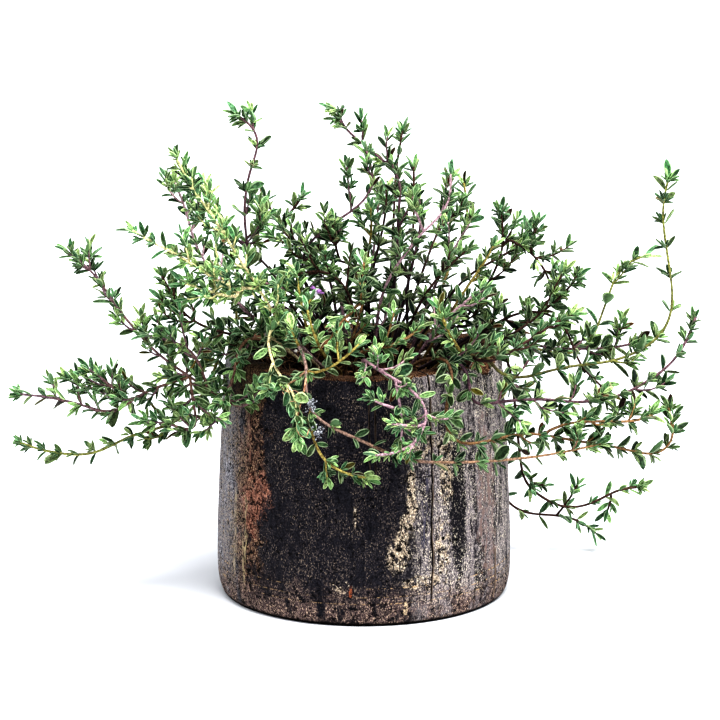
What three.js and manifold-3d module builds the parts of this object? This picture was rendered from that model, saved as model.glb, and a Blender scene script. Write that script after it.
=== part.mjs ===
// Potted thyme: a young thyme plant with long trailing sprigs, in an old turned wooden pot.
// Millimetres, +Z up. The origin is the centre of the pot's flat underside.
import * as THREE from "three";
import { mergeVertices } from "three/addons/utils/BufferGeometryUtils.js";
import Module from "manifold-3d";

const wasm = await Module();
wasm.setup();

// The pot, turned from one log: widest near the foot, a worn rim with a chip at the right.
const POT_HEIGHT = 108;
const POT_FOOT_RADIUS = 62;
const POT_BELLY_RADIUS = 65;
const POT_BELLY_HEIGHT = 13;
const POT_RIM_RADIUS = 60.5;
const POT_TAPER = 1.7; // 1 would be a straight taper from belly to rim; above 1 it starts later
const POT_WALL = 11;
const POT_FLOOR = 14;
const POT_SIDES = 40;
const RIM_BAND = 14; // the height below the rim that its wear reaches
const CHIP_ANGLE = -0.5;
const CHIP_HALF_ANGLE = 0.15;
const CHIP_DEPTH = 5;

// Potting mix, filled to a little below the rim.
const SOIL_LEVEL = 100;
const SOIL_MOUND = 3;
const SOIL_BUMP = 1.1;
const SOIL_RINGS = 3;
const GAP = 0.35; // between pieces that touch

// Stems: square, as thyme's are. Radii are to a corner of the square.
const STEM_FOOT_RADIUS = 1.15;
const BRANCH_RADIUS = 0.8;
const STEM_TIP_RADIUS = 0.42;
const FOOT_DEPTH = 5; // how far a stem stands in its hole in the soil
const SAMPLE = 3; // spacing of the points that carry a stem's shape
const FACET_SAG = 0.8; // how far a straight facet may leave the curve
const STEM_SPACE = 1.9; // kept between stems of different sprigs, beyond their radii
const WALL_SPACE = 2.2; // kept between a stem and the pot
const BEND_PASSES = 40;

// Leaves: small pointed ovals in pairs, each pair crosswise to the one before.
const LEAF_LENGTH = 7.2;
const LEAF_WIDTH_SHARE = 0.46;
const LEAF_THICKNESS = 0.8; // along the midrib
const LEAF_CLEARANCE = 0.35;
const TIP_LEAVES = 4;
const LEAVES_PER_MM = 0.026; // leaves kept as solids, for each millimetre of stem
const LOWEST_LEAF = 3;
const PETAL_LENGTH = 3.6;

// Routes are noted as the sprigs are seen from in front, from an eye EYE_DISTANCE away that looks
// down by EYE_PITCH at the point AIM_HEIGHT up the pot's axis: across, up, and how far behind the axis.
const EYE_DISTANCE = 1300;
const EYE_PITCH = THREE.MathUtils.degToRad(12.3);
const AIM_HEIGHT = 102.8;

// Each sprig stands in the soil at its foot [x, y]. Its first stem leads from there, and the others
// branch off it.
const SPRIGS = [
  {
    name: "left_spreading",
    foot: [-26, -14],
    stems: [
      [[-53, 11, -30], [-56, 0, -33], [-59, -15, -34], [-62, -19, -34], [-67, -14, -34], [-77, -7, -34],
        [-89, 1, -34], [-98, 10, -35], [-110, 25, -36], [-121, 41, -37], [-130, 47, -38]],
      [[-77, -7, -34], [-88, -11, -32], [-97, -14, -30], [-103, -18, -29], [-107, -23, -28],
        [-114, -24, -27], [-122, -20, -26], [-131, -18, -25], [-140, -16, -24], [-152, -15, -22]],
      [[-102, -17, -29], [-113, -10, -33], [-121, -4, -35]],
      [[-103, -17, -29], [-113, -13, -22], [-128, -12, -20], [-131, -8, -19]],
      [[-76, -8, -34], [-75, -21, -38], [-72, -32, -39], [-76, -33, -40], [-83, -28, -41], [-97, -27, -42]],
      [[-60, -19, -34], [-55, -22, -40], [-49, -19, -46], [-44, -10, -50]],
      [[-70, -12, -34], [-72, -2, -38], [-74, 3, -40], [-78, 7, -41], [-89, 9, -42], [-96, 11, -42]],
    ],
  },
  {
    name: "left_trailing",
    foot: [-34, 8],
    stems: [
      [[-56, 8, -2], [-66, -6, -6], [-77, -24, -9], [-93, -31, -11], [-103, -33, -12], [-113, -39, -12],
        [-120, -42, -12], [-135, -41, -11], [-145, -39, -10], [-152, -36, -10]],
    ],
  },
  {
    name: "left_olive",
    foot: [-30, -4],
    stems: [
      [[-52, 10, -18], [-62, 12, -22], [-70, 14, -25], [-77, 18, -26], [-82, 22, -27], [-84, 29, -28],
        [-89, 37, -29]],
      [[-79, 20, -27], [-86, 22, -30], [-90, 27, -31]],
    ],
  },
  {
    name: "left_bright",
    foot: [-20, -22],
    stems: [
      [[-36, 14, -36], [-41, 23, -42], [-46, 31, -46], [-54, 43, -50], [-62, 56, -53], [-70, 68, -55],
        [-76, 76, -56], [-80, 83, -56], [-83, 90, -56]],
      [[-46, 31, -46], [-50, 32, -50], [-56, 31, -54], [-67, 36, -60], [-75, 42, -62], [-81, 46, -63],
        [-90, 50, -64], [-102, 57, -65]],
      [[-54, 31, -53], [-57, 27, -55], [-63, 28, -58], [-72, 32, -60], [-80, 34, -62]],
    ],
  },
  {
    name: "left_tall",
    foot: [-22, 0],
    stems: [
      [[-44, 20, -6], [-51, 36, -8], [-51, 51, -8], [-53, 62, -7], [-52, 74, -6], [-51, 82, -6],
        [-47, 91, -5], [-45, 98, -5], [-48, 103, -5], [-56, 108, -6]],
      [[-51, 50, -8], [-46, 53, -9], [-45, 61, -10]],
      [[-51, 50, -8], [-57, 53, -8], [-61, 57, -8]],
    ],
  },
  {
    name: "left_slender",
    foot: [-28, -8],
    stems: [
      [[-50, 20, -14], [-62, 32, -17], [-70, 43, -18], [-75, 52, -19], [-78, 65, -20], [-80, 72, -20],
        [-84, 79, -21]],
    ],
  },
  {
    name: "crown_leaning",
    foot: [-12, -6],
    stems: [
      [[-24, 28, -12], [-28, 42, -16], [-26, 50, -19], [-21, 55, -21], [-14, 60, -22], [-6, 65, -22],
        [1, 70, -22], [5, 77, -22], [4, 84, -22], [1, 92, -22]],
    ],
  },
  {
    name: "crown_tall",
    foot: [8, -2],
    stems: [
      [[13, 30, -8], [15, 50, -10], [15, 68, -10], [17, 75, -10], [17, 80, -10], [7, 89, -11], [1, 94, -12],
        [-7, 100, -13], [-11, 105, -14], [-15, 111, -14]],
      [[15, 60, -10], [20, 66, -12], [22, 72, -12]],
    ],
  },
  {
    name: "crown_right",
    foot: [4, -20],
    stems: [
      [[8, 30, -30], [14, 41, -33], [19, 48, -34], [26, 57, -35], [36, 65, -36], [39, 74, -36],
        [38, 82, -36]],
      [[26, 57, -35], [24, 63, -37], [22, 67, -38]],
    ],
  },
  {
    name: "arch_high",
    foot: [2, -8],
    stems: [
      [[2, 30, -16], [0, 40, -18], [-6, 43, -19], [-12, 44, -20], [-21, 46, -21], [-29, 44, -22],
        [-36, 39, -23]],
      [[-11, 44, -20], [-12, 48, -21], [-14, 55, -23], [-14, 60, -24]],
      [[-24, 46, -21], [-30, 50, -20], [-36, 52, -20], [-41, 54, -20]],
    ],
  },
  {
    name: "arch_low",
    foot: [-4, -14],
    stems: [[[-5, 26, -24], [-9, 34, -26], [-14, 39, -27], [-22, 40, -29], [-30, 38, -31], [-36, 33, -32]]],
  },
  {
    name: "far_high",
    foot: [8, 22],
    stems: [
      [[12, 40, 36], [13, 60, 48], [14, 80, 56], [14, 86, 58], [16, 93, 60], [17, 101, 62]],
      [[14, 84, 57], [10, 88, 55], [7, 88, 54]],
    ],
  },
  { name: "far_middle", foot: [18, 18], stems: [[[20, 40, 32], [22, 60, 44], [22, 70, 48], [22, 85, 50]]] },
  {
    name: "far_right",
    foot: [26, 20],
    stems: [[[36, 36, 40], [42, 52, 54], [46, 60, 60], [46, 66, 62], [44, 78, 62]]],
  },
  {
    name: "right_arching",
    foot: [30, 6],
    stems: [
      [[48, 22, 4], [56, 36, 2], [60, 44, 1], [62, 52, 0], [61, 60, 0], [60, 66, 0]],
      [[62, 51, 0], [66, 53, -1], [71, 50, -2], [75, 46, -3], [79, 42, -4], [82, 35, -4], [83, 30, -4]],
      [[74, 47, -3], [74, 52, -4], [76, 60, -4]],
    ],
  },
  {
    name: "right_cut_back",
    foot: [34, -8],
    stems: [
      [[56, 6, -16], [66, 12, -18], [76, 18, -19], [80, 22, -20], [84, 33, -20], [88, 39, -20]],
      [[81, 24, -20], [85, 26, -22], [91, 32, -24], [94, 37, -25]],
    ],
  },
  {
    name: "right_drooping",
    foot: [36, 0],
    stems: [
      [[58, 16, -2], [70, 22, -4], [80, 21, -6], [85, 20, -8], [90, 13, -9], [92, 6, -10], [94, -1, -10],
        [97, -6, -11], [104, -10, -12], [108, -15, -12]],
    ],
  },
  {
    name: "far_tall",
    foot: [34, 16],
    stems: [
      [[62, 8, 34], [80, 4, 42], [92, 2, 48], [99, 6, 50], [103, 14, 52], [105, 22, 53], [108, 28, 54],
        [110, 36, 55], [113, 42, 56], [118, 44, 57], [124, 46, 58]],
    ],
  },
  {
    name: "right_tall",
    foot: [30, -16],
    stems: [
      [[50, 2, -32], [58, -6, -32], [66, -9, -30], [80, -5, -27], [95, -2, -24], [109, -1, -21],
        [117, 2, -20], [127, 7, -19], [134, 15, -18], [136, 23, -18], [136, 30, -18], [134, 43, -17],
        [132, 57, -16], [131, 67, -16], [134, 80, -16]],
    ],
  },
  {
    name: "right_level",
    foot: [36, 8],
    stems: [[[56, 14, 10], [66, 11, 8], [71, 8, 7], [80, 5, 6], [92, 5, 5], [108, 5, 4], [122, 8, 3]]],
  },
  {
    name: "right_long",
    foot: [24, -28],
    stems: [
      [[42, 2, -46], [47, -8, -50], [46, -16, -53], [47, -22, -54], [54, -19, -52], [63, -18, -50],
        [80, -17, -46], [92, -19, -43], [102, -18, -41], [113, -16, -39], [122, -11, -37], [129, -7, -36],
        [138, 1, -34], [142, 8, -33], [146, 19, -32]],
    ],
  },
  {
    name: "right_low",
    foot: [16, -34],
    stems: [
      [[36, 2, -52], [40, -6, -58], [37, -16, -61], [35, -28, -63], [39, -37, -62], [54, -36, -56],
        [69, -32, -50], [80, -33, -47], [95, -36, -44], [111, -38, -41], [124, -42, -39], [131, -42, -38],
        [136, -38, -38], [137, -30, -38], [134, -21, -38]],
      [[79, -33, -47], [86, -28, -49], [102, -27, -48], [113, -27, -46], [120, -28, -45], [127, -24, -44]],
    ],
  },
  {
    name: "front_long",
    foot: [-16, -32],
    stems: [
      [[-31, 9, -52], [-28, 5, -56], [-24, -2, -60], [-26, -10, -64], [-25, -23, -67], [-21, -26, -68],
        [-14, -30, -69], [0, -36, -71], [15, -43, -71], [23, -45, -70], [36, -45, -67], [48, -45, -63],
        [62, -44, -58], [72, -43, -54], [86, -41, -50], [95, -39, -48], [104, -37, -46]],
      [[-25, -25, -67], [-22, -37, -69], [-19, -44, -70], [-14, -48, -71], [-6, -51, -72], [1, -52, -72]],
      [[-25, -6, -62], [-18, -6, -64], [-13, -3, -64], [-7, 2, -63], [-2, 7, -62]],
      [[-30, 9, -53], [-32, 14, -54]],
    ],
  },
  {
    name: "front_upright",
    foot: [-8, -28],
    stems: [
      [[-5, 11, -44], [-2, 17, -46], [0, 28, -47], [-1, 36, -48], [0, 43, -48]],
      [[0, 24, -47], [-5, 23, -50], [-10, 17, -54], [-15, 9, -57]],
    ],
  },
  {
    name: "front_orange",
    foot: [-4, -34],
    stems: [[[-3, 4, -48], [2, 5, -52], [8, 5, -54], [14, 7, -55], [21, 9, -55], [25, 15, -55]]],
  },
  {
    name: "front_draping",
    foot: [0, -40],
    stems: [
      [[-1, 2, -56], [3, -3, -62], [8, -5, -66], [14, -9, -70], [22, -13, -73], [25, -17, -75],
        [29, -22, -76], [30, -25, -76], [26, -31, -77], [22, -37, -78], [19, -41, -78]],
      [[14, -9, -70], [16, -20, -74], [17, -30, -76], [16, -40, -77]],
      [[27, -29, -77], [18, -30, -78], [12, -28, -78]],
      [[16, -21, -74], [11, -21, -76], [6, -20, -77], [3, -17, -77]],
      [[22, -37, -78], [14, -42, -77], [5, -42, -77]],
    ],
  },
  {
    name: "front_pale",
    foot: [-24, -26],
    stems: [
      [[-43, 12, -44], [-43, 9, -48], [-41, 1, -54], [-38, -7, -60], [-33, -11, -64], [-30, -14, -67],
        [-29, -20, -70], [-30, -29, -71], [-29, -35, -71]],
      [[-43, 10, -47], [-40, 14, -47], [-37, 17, -47]],
      [[-41, -1, -56], [-42, -8, -60], [-42, -12, -61]],
      [[-34, -10, -63], [-33, -16, -66], [-32, -20, -67]],
    ],
  },
  {
    name: "front_left",
    foot: [-14, -24],
    stems: [
      [[-26, 15, -44], [-27, 23, -46], [-29, 32, -47], [-30, 38, -47]],
      [[-27, 22, -46], [-24, 26, -46], [-23, 27, -46]],
    ],
  },
  {
    name: "front_middle",
    foot: [-10, -34],
    stems: [[[-19, 4, -54], [-21, 8, -56], [-24, 16, -57], [-25, 22, -57]]],
  },
  {
    name: "right_twig",
    foot: [30, -30],
    stems: [[[44, 1, -46], [41, 6, -49], [37, 11, -51], [35, 18, -52], [33, 23, -52]]],
  },
  {
    name: "right_woody",
    foot: [28, -22],
    stems: [
      [[45, 4, -40], [51, -3, -43], [59, 0, -42], [67, 5, -39], [76, 11, -36], [85, 17, -34],
        [92, 20, -33]],
    ],
  },
  {
    name: "trailing_low",
    foot: [24, 30],
    stems: [
      [[38, 17, 50], [46, 6, 58], [54, -30, 62], [60, -58, 60], [66, -66, 56], [72, -68, 55], [83, -68, 54],
        [92, -69, 54], [98, -72, 54], [102, -76, 54]],
      [[85, -68, 54], [92, -60, 52], [94, -55, 52]],
    ],
  },
  {
    name: "trailing_high",
    foot: [34, 26],
    stems: [
      [[52, 14, 38], [62, 4, 44], [66, -15, 47], [68, -35, 48], [69, -45, 48], [71, -56, 48], [77, -59, 49],
        [82, -63, 50], [91, -66, 50], [98, -64, 50], [104, -62, 50], [109, -58, 50], [112, -56, 50],
        [122, -56, 50]],
      [[109, -58, 50], [109, -65, 51], [107, -67, 51]],
    ],
  },
  { name: "crown_a", foot: [-2, 2], stems: [[[0, 30, 0], [2, 48, 2], [4, 60, 2], [3, 67, 2]]] },
  { name: "crown_b", foot: [12, 8], stems: [[[20, 36, 8], [24, 54, 10], [26, 66, 11], [24, 72, 12]]] },
  { name: "crown_c", foot: [20, 0], stems: [[[30, 30, 0], [38, 46, -2], [44, 56, -4], [48, 63, -5]]] },
  { name: "crown_d", foot: [0, 12], stems: [[[4, 40, 18], [8, 56, 22], [10, 66, 24], [10, 75, 25]]] },
  { name: "crown_e", foot: [-10, 8], stems: [[[-14, 32, 14], [-17, 42, 18], [-20, 48, 20], [-20, 53, 21]]] },
  { name: "crown_f", foot: [14, -14], stems: [[[24, 24, -24], [32, 36, -28], [40, 44, -30], [46, 49, -32]]] },
  { name: "crown_g", foot: [26, -8], stems: [[[40, 24, -14], [48, 36, -16], [54, 44, -17], [57, 50, -18]]] },
  {
    name: "crown_h",
    foot: [-14, -14],
    stems: [[[-24, 24, -28], [-32, 30, -34], [-38, 33, -37], [-44, 34, -38]]],
  },
  { name: "crown_i", foot: [20, -24], stems: [[[32, 14, -40], [40, 22, -44], [47, 28, -46], [53, 31, -47]]] },
];

// The far side, by a rule: sprigs fan out behind the pot, every second one drooping below the rim.
const FAR_SPRIGS = 10;
const FAR_FIRST_ANGLE = 0.3;
const FAR_LAST_ANGLE = 2.95;
const FAR_FOOT_RADIUS = 27;

// A draw from 0 to 1 that depends only on its three numbers.
function draw(a, b, c) {
  const s = Math.sin(a * 12.9898 + b * 78.233 + c * 37.719 + 4.2) * 43758.5453;
  return s - Math.floor(s);
}

// The place of a point that is seen from in front at across and up, when it is behind the axis by depth.
function seenFromFront([across, up, depth]) {
  const aim = new THREE.Vector3(0, 0, AIM_HEIGHT);
  const back = new THREE.Vector3(0, -Math.cos(EYE_PITCH), Math.sin(EYE_PITCH));
  const eye = aim.clone().addScaledVector(back, EYE_DISTANCE);
  const onPlane = new THREE.Vector3(across, up * Math.sin(EYE_PITCH), AIM_HEIGHT + up * Math.cos(EYE_PITCH));
  const ray = onPlane.sub(eye);
  return eye.addScaledVector(ray, (depth - eye.y) / ray.y);
}

function farSprig(i) {
  const angle = THREE.MathUtils.lerp(FAR_FIRST_ANGLE, FAR_LAST_ANGLE, i / (FAR_SPRIGS - 1));
  const drooping = i % 2 === 1;
  const behind = Math.sin(angle);
  const sway = 0.3 * (draw(i, 1, 0) - 0.5);
  const at = (radius, turn, height) =>
    new THREE.Vector3(radius * Math.cos(angle + turn), radius * Math.sin(angle + turn), height);
  const foot = at(FAR_FOOT_RADIUS * (drooping ? 1.25 : 0.8), 0, 0);
  const reach = drooping ? 78 + 18 * behind : 62 + 12 * draw(i, 2, 0);
  const stem = drooping
    ? [
        at(46, 0.03, POT_HEIGHT + 12),
        at(60, 0.3 * sway, POT_HEIGHT + 11),
        at(72, 0.6 * sway, POT_HEIGHT + 2 - 8 * behind),
        at(reach, sway, POT_HEIGHT - 12 - 30 * behind),
        at(reach + 12, sway, POT_HEIGHT - 10 - 42 * behind),
      ]
    : [
        at(36, 0.03, POT_HEIGHT + 16),
        at(48, 0.4 * sway, POT_HEIGHT + 28 + 8 * behind),
        at(reach - 6, sway, POT_HEIGHT + 34 + 14 * behind),
        at(reach + 4, sway, POT_HEIGHT + 38 + 22 * behind),
      ];
  const fork = stem[drooping ? 3 : 2];
  const steps = [[0, 0, 0], [7, 3, 5], [11, 4, 12]];
  const shoot = steps.map((step) => fork.clone().add(new THREE.Vector3(...step)));
  return { name: "behind_" + (i + 1), foot: [foot.x, foot.y], routes: [stem, shoot] };
}

function allSprigs() {
  const inFront = SPRIGS.map(({ name, foot, stems }) => ({
    name,
    foot,
    routes: stems.map((route) => route.map(seenFromFront)),
  }));
  return [...inFront, ...Array.from({ length: FAR_SPRIGS }, (_, i) => farSprig(i))];
}

// Points every SAMPLE along a smooth curve through the route.
function sampled(route) {
  const curve = new THREE.CatmullRomCurve3(route, false, "centripetal");
  return curve.getSpacedPoints(Math.max(2, Math.round(curve.getLength() / SAMPLE)));
}

function nearestPoint(point, stems) {
  let best = null;
  for (const stem of stems)
    for (const p of stem.points)
      if (!best || p.distanceToSquared(point) < best.distanceToSquared(point)) best = p;
  return best;
}

// A sprig's stems as sampled points. A branch starts at the nearest point of the stems before it.
function sprigStems({ foot, routes }) {
  const stems = [];
  routes.forEach((route, i) => {
    if (i === 0) {
      const low = new THREE.Vector3(foot[0], foot[1], SOIL_LEVEL - FOOT_DEPTH);
      const high = new THREE.Vector3(foot[0], foot[1], SOIL_LEVEL + SOIL_MOUND + 2);
      const points = [low, ...sampled([high, ...route])];
      stems.push({ points, joinedTo: null });
    } else {
      const joinedTo = nearestPoint(route[0], stems);
      stems.push({ points: sampled([joinedTo.clone(), ...route.slice(1)]), joinedTo });
    }
  });
  stems.forEach((stem, i) => {
    const thick = i === 0 ? STEM_FOOT_RADIUS : BRANCH_RADIUS;
    const last = stem.points.length - 1;
    const radiusAt = (k) => THREE.MathUtils.lerp(thick, STEM_TIP_RADIUS, Math.pow(k / last, 0.8));
    stem.radii = stem.points.map((_, k) => radiusAt(k));
  });
  return stems;
}

function potOuterRadius(z) {
  if (z < POT_BELLY_HEIGHT) {
    const t = 1 - Math.max(z, 0) / POT_BELLY_HEIGHT;
    return POT_FOOT_RADIUS + (POT_BELLY_RADIUS - POT_FOOT_RADIUS) * Math.sqrt(1 - t * t);
  }
  const t = Math.min(1, (z - POT_BELLY_HEIGHT) / (POT_HEIGHT - POT_BELLY_HEIGHT));
  return POT_BELLY_RADIUS + (POT_RIM_RADIUS - POT_BELLY_RADIUS) * Math.pow(t, POT_TAPER);
}

// How far a point must move to keep WALL_SPACE from the pot's wall: up over the rim, or out past the side.
function clearOfPot(p, radius) {
  const out = Math.hypot(p.x, p.y);
  const space = WALL_SPACE + radius;
  const side = potOuterRadius(p.z) + space - out;
  const inner = out - (POT_RIM_RADIUS - POT_WALL - space);
  const up = POT_HEIGHT + space - p.z;
  if (side <= 0 || inner <= 0 || up <= 0) return null;
  if (up < side) return new THREE.Vector3(0, 0, up);
  return new THREE.Vector3(p.x / out, p.y / out, 0).multiplyScalar(side);
}

// Bends the stems of different sprigs clear of each other and of the pot, a little at a time.
function bendClear(sprigs) {
  const all = [];
  sprigs.forEach((stems, s) =>
    stems.forEach((stem) =>
      stem.points.forEach((p, k) => all.push({ p, s, radius: stem.radii[k], foot: !stem.joinedTo && k < 2 })),
    ),
  );
  for (let pass = 0; pass < BEND_PASSES; pass++) {
    const push = all.map(() => new THREE.Vector3());
    for (let i = 0; i < all.length; i++)
      for (let j = i + 1; j < all.length; j++) {
        const a = all[i];
        const b = all[j];
        if (a.s === b.s) continue;
        const want = a.radius + b.radius + STEM_SPACE;
        if (Math.abs(a.p.x - b.p.x) > want || Math.abs(a.p.y - b.p.y) > want) continue;
        const apart = a.p.clone().sub(b.p);
        const d = apart.length();
        if (d >= want || d === 0) continue;
        apart.multiplyScalar((want - d) / d / 2);
        push[i].add(apart);
        push[j].sub(apart);
      }
    all.forEach((a, i) => {
      if (a.foot) push[i].z = 0;
      a.p.add(push[i]);
      const wall = a.foot ? null : clearOfPot(a.p, a.radius);
      if (wall) a.p.addScaledVector(wall, 0.5);
    });
    sprigs.forEach((stems) =>
      stems.forEach(({ points, joinedTo }) => {
        if (joinedTo) points[0].copy(joinedTo);
        else points[0].set(points[1].x, points[1].y, points[0].z);
        const before = points.map((p) => p.clone());
        for (let k = 2; k < points.length - 1; k++)
          points[k].lerp(before[k - 1].clone().add(before[k + 1]).multiplyScalar(0.5), 0.12);
      }),
    );
  }
}

// Fewer points for the same stem: its straight foot, and those that keep flat facets within FACET_SAG of it.
function facetIndices(points, straightTo) {
  const keep = new Set([0, straightTo, points.length - 1]);
  const line = new THREE.Line3();
  const near = new THREE.Vector3();
  const split = (from, to) => {
    line.set(points[from], points[to]);
    let worst = 0;
    let at = -1;
    for (let k = from + 1; k < to; k++) {
      const d = line.closestPointToPoint(points[k], true, near).distanceTo(points[k]);
      if (d > worst) [worst, at] = [d, k];
    }
    if (worst > FACET_SAG) {
      keep.add(at);
      split(from, at);
      split(at, to);
    }
  };
  split(straightTo, points.length - 1);
  return [...keep].sort((a, b) => a - b);
}

// Directions across a stem, carried along it without twist.
function frames(points) {
  const tangents = points.map((_, k) =>
    points[Math.min(k + 1, points.length - 1)].clone().sub(points[Math.max(k - 1, 0)]).normalize(),
  );
  let across = new THREE.Vector3(1, 0, 0);
  if (Math.abs(tangents[0].x) > 0.9) across.set(0, 1, 0);
  return tangents.map((tangent) => {
    across = across.clone().addScaledVector(tangent, -across.dot(tangent)).normalize();
    return { tangent, across, other: tangent.clone().cross(across) };
  });
}

function solidOf(positions, triangles) {
  const geometry = new THREE.BufferGeometry();
  geometry.setAttribute("position", new THREE.Float32BufferAttribute(positions, 3));
  geometry.setIndex(triangles);
  const merged = mergeVertices(geometry, 1e-4);
  const mesh = new wasm.Mesh({
    numProp: 3,
    vertProperties: merged.attributes.position.array,
    triVerts: new Uint32Array(merged.index.array),
  });
  return new wasm.Manifold(mesh);
}

function stemSolid({ points, radii, joinedTo }, sides) {
  const kept = facetIndices(points, joinedTo ? 0 : 1);
  const route = kept.map((k) => points[k]);
  const positions = [];
  frames(route).forEach(({ across, other }, row) => {
    for (let side = 0; side < sides; side++) {
      const turn = (2 * Math.PI * side) / sides;
      const corner = route[row]
        .clone()
        .addScaledVector(across, radii[kept[row]] * Math.cos(turn))
        .addScaledVector(other, radii[kept[row]] * Math.sin(turn));
      positions.push(...corner.toArray());
    }
  });
  const triangles = [];
  const rows = route.length;
  for (let row = 0; row + 1 < rows; row++)
    for (let side = 0; side < sides; side++) {
      const a = row * sides + side;
      const b = row * sides + ((side + 1) % sides);
      triangles.push(a, b, b + sides, a, b + sides, a + sides);
    }
  for (let side = 1; side + 1 < sides; side++) {
    triangles.push(0, side + 1, side);
    const top = (rows - 1) * sides;
    triangles.push(top, top + side, top + side + 1);
  }
  return solidOf(positions, triangles);
}

// A leaf's blade, from its root inside the stem: a pointed oval, flat below and raised along its midrib.
function leafSolid({ root, along, normal, length }) {
  const half = (length * LEAF_WIDTH_SHARE) / 2;
  const side = normal.clone().cross(along);
  const at = (share, out, lift) =>
    root
      .clone()
      .addScaledVector(along, share * length)
      .addScaledVector(side, out)
      .addScaledVector(normal, lift)
      .toArray();
  const rim = [at(0, 0, 0), at(0.5, half, 0), at(1, 0, 0), at(0.5, -half, 0)];
  const corners = [...rim, at(0.45, 0, LEAF_THICKNESS)];
  return solidOf(corners.flat(), [0, 4, 1, 1, 4, 2, 2, 4, 3, 3, 4, 0, 0, 1, 3, 1, 2, 3]);
}

// Where leaves grow on a stem, from its tip down: crosswise pairs, close at the tip and wider apart below.
function leafPlaces(points, sprig, stem, bareShare) {
  const steps = points.slice(1).map((p, k) => p.distanceTo(points[k]));
  const total = steps.reduce((a, b) => a + b, 0);
  const frame = frames(points);
  const places = [];
  let fromTip = 0.6;
  const turn = Math.PI * draw(sprig, stem, 1);
  for (let pair = 0; fromTip < total * (1 - bareShare); pair++) {
    let left = total - fromTip;
    let k = 0;
    while (k < steps.length - 1 && left > steps[k]) left -= steps[k++];
    const root = points[k].clone().lerp(points[k + 1], left / steps[k]);
    const { tangent, across, other } = frame[k];
    const youth = Math.exp(-pair / 2.2);
    for (let which = 0; which < 2; which++) {
      const stray = 0.5 * (draw(sprig + pair, stem, 2 + which) - 0.5);
      const angle = turn + (pair * Math.PI) / 2 + which * Math.PI + stray;
      const out = across.clone().multiplyScalar(Math.cos(angle)).addScaledVector(other, Math.sin(angle));
      const lean = 1.15 - 0.65 * youth + 0.3 * (draw(sprig, stem + pair, 5 + which) - 0.5);
      const along = tangent.clone().multiplyScalar(Math.cos(lean)).addScaledVector(out, Math.sin(lean));
      const facing = tangent.clone().multiplyScalar(0.8).addScaledVector(new THREE.Vector3(0, 0, 1), 0.5);
      facing.addScaledVector(along, -facing.dot(along)).normalize();
      const size = 0.8 + 0.4 * draw(sprig + pair, stem, 8 + which);
      const length = LEAF_LENGTH * (1 - 0.22 * youth) * size;
      places.push({ root, along, normal: facing, length, pair });
    }
    fromTip += Math.min(3.4 + 1.3 * pair, 8.6) * (0.85 + 0.3 * draw(sprig, stem + pair, 11));
  }
  return places;
}

// Whether a leaf keeps LEAF_CLEARANCE from every piece that belongs to something else.
function isClear(leaf, owner, pieces) {
  const box = leaf.boundingBox();
  if (box.min[2] < LOWEST_LEAF) return false;
  const meets = ({ min, max }) =>
    [0, 1, 2].every((i) => min[i] < box.max[i] + LEAF_CLEARANCE && max[i] > box.min[i] - LEAF_CLEARANCE);
  const near = pieces.filter((piece) => piece.owner !== owner && meets(piece.box));
  return near.every((piece) => piece.solid.minGap(leaf, LEAF_CLEARANCE) >= LEAF_CLEARANCE);
}

// The leaves of a stem that are made as solids: all those at its tip, and fewer below, evenly.
function leavesToMake(places, tipLeaves, length) {
  const rest = places.slice(tipLeaves);
  const wanted = Math.min(rest.length, Math.round(length * LEAVES_PER_MM));
  const step = rest.length / wanted;
  const spread = Array.from({ length: wanted }, (_, k) => rest[Math.floor((k + 0.5) * step)]);
  return [...places.slice(0, tipLeaves), ...spread];
}

// Every sprig as one fused solid: its stems, and the leaves that stay clear of the other pieces.
function sprigSolids(sprigs, others) {
  const pieces = others.map((solid) => ({ solid, owner: null, box: solid.boundingBox() }));
  const take = (solid, owner) => pieces.push({ solid, owner, box: solid.boundingBox() });
  const stemsOf = sprigs.map((stems) => stems.map((stem, i) => stemSolid(stem, i === 0 ? 4 : 3)));
  stemsOf.forEach((solids, s) => solids.forEach((solid) => take(solid, s)));
  return sprigs.map((stems, s) => {
    let whole = stemsOf[s].reduce((a, b) => a.add(b));
    stems.forEach((stem, i) => {
      const places = leafPlaces(stem.points, s, i, i === 0 ? 0.3 : 0.2);
      const length = (stem.points.length - 1) * SAMPLE;
      for (const place of leavesToMake(places, i === 0 ? TIP_LEAVES : TIP_LEAVES - 1, length)) {
        const leaf = leafSolid(place);
        if (!isClear(leaf, s, pieces)) continue;
        take(leaf, s);
        whole = whole.add(leaf);
      }
    });
    return whole;
  });
}

// How far the worn rim stands above or below its height, round the pot.
function rimWear(angle) {
  const turn = (angle - CHIP_ANGLE) / CHIP_HALF_ANGLE;
  return 0.7 * Math.sin(2 * angle + 2.2) + 0.35 * Math.sin(5 * angle) - CHIP_DEPTH * Math.exp(-turn * turn);
}

function turned(profile, sides, shift) {
  const geometry = new THREE.LatheGeometry(profile.map(([r, z]) => new THREE.Vector2(r, z)), sides);
  geometry.rotateX(Math.PI / 2);
  geometry.deleteAttribute("normal");
  geometry.deleteAttribute("uv");
  const position = geometry.attributes.position;
  const p = new THREE.Vector3();
  for (let i = 0; i < position.count; i++) {
    p.fromBufferAttribute(position, i);
    p.z += shift(p);
    position.setXYZ(i, ...p.toArray());
  }
  return geometry;
}

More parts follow.
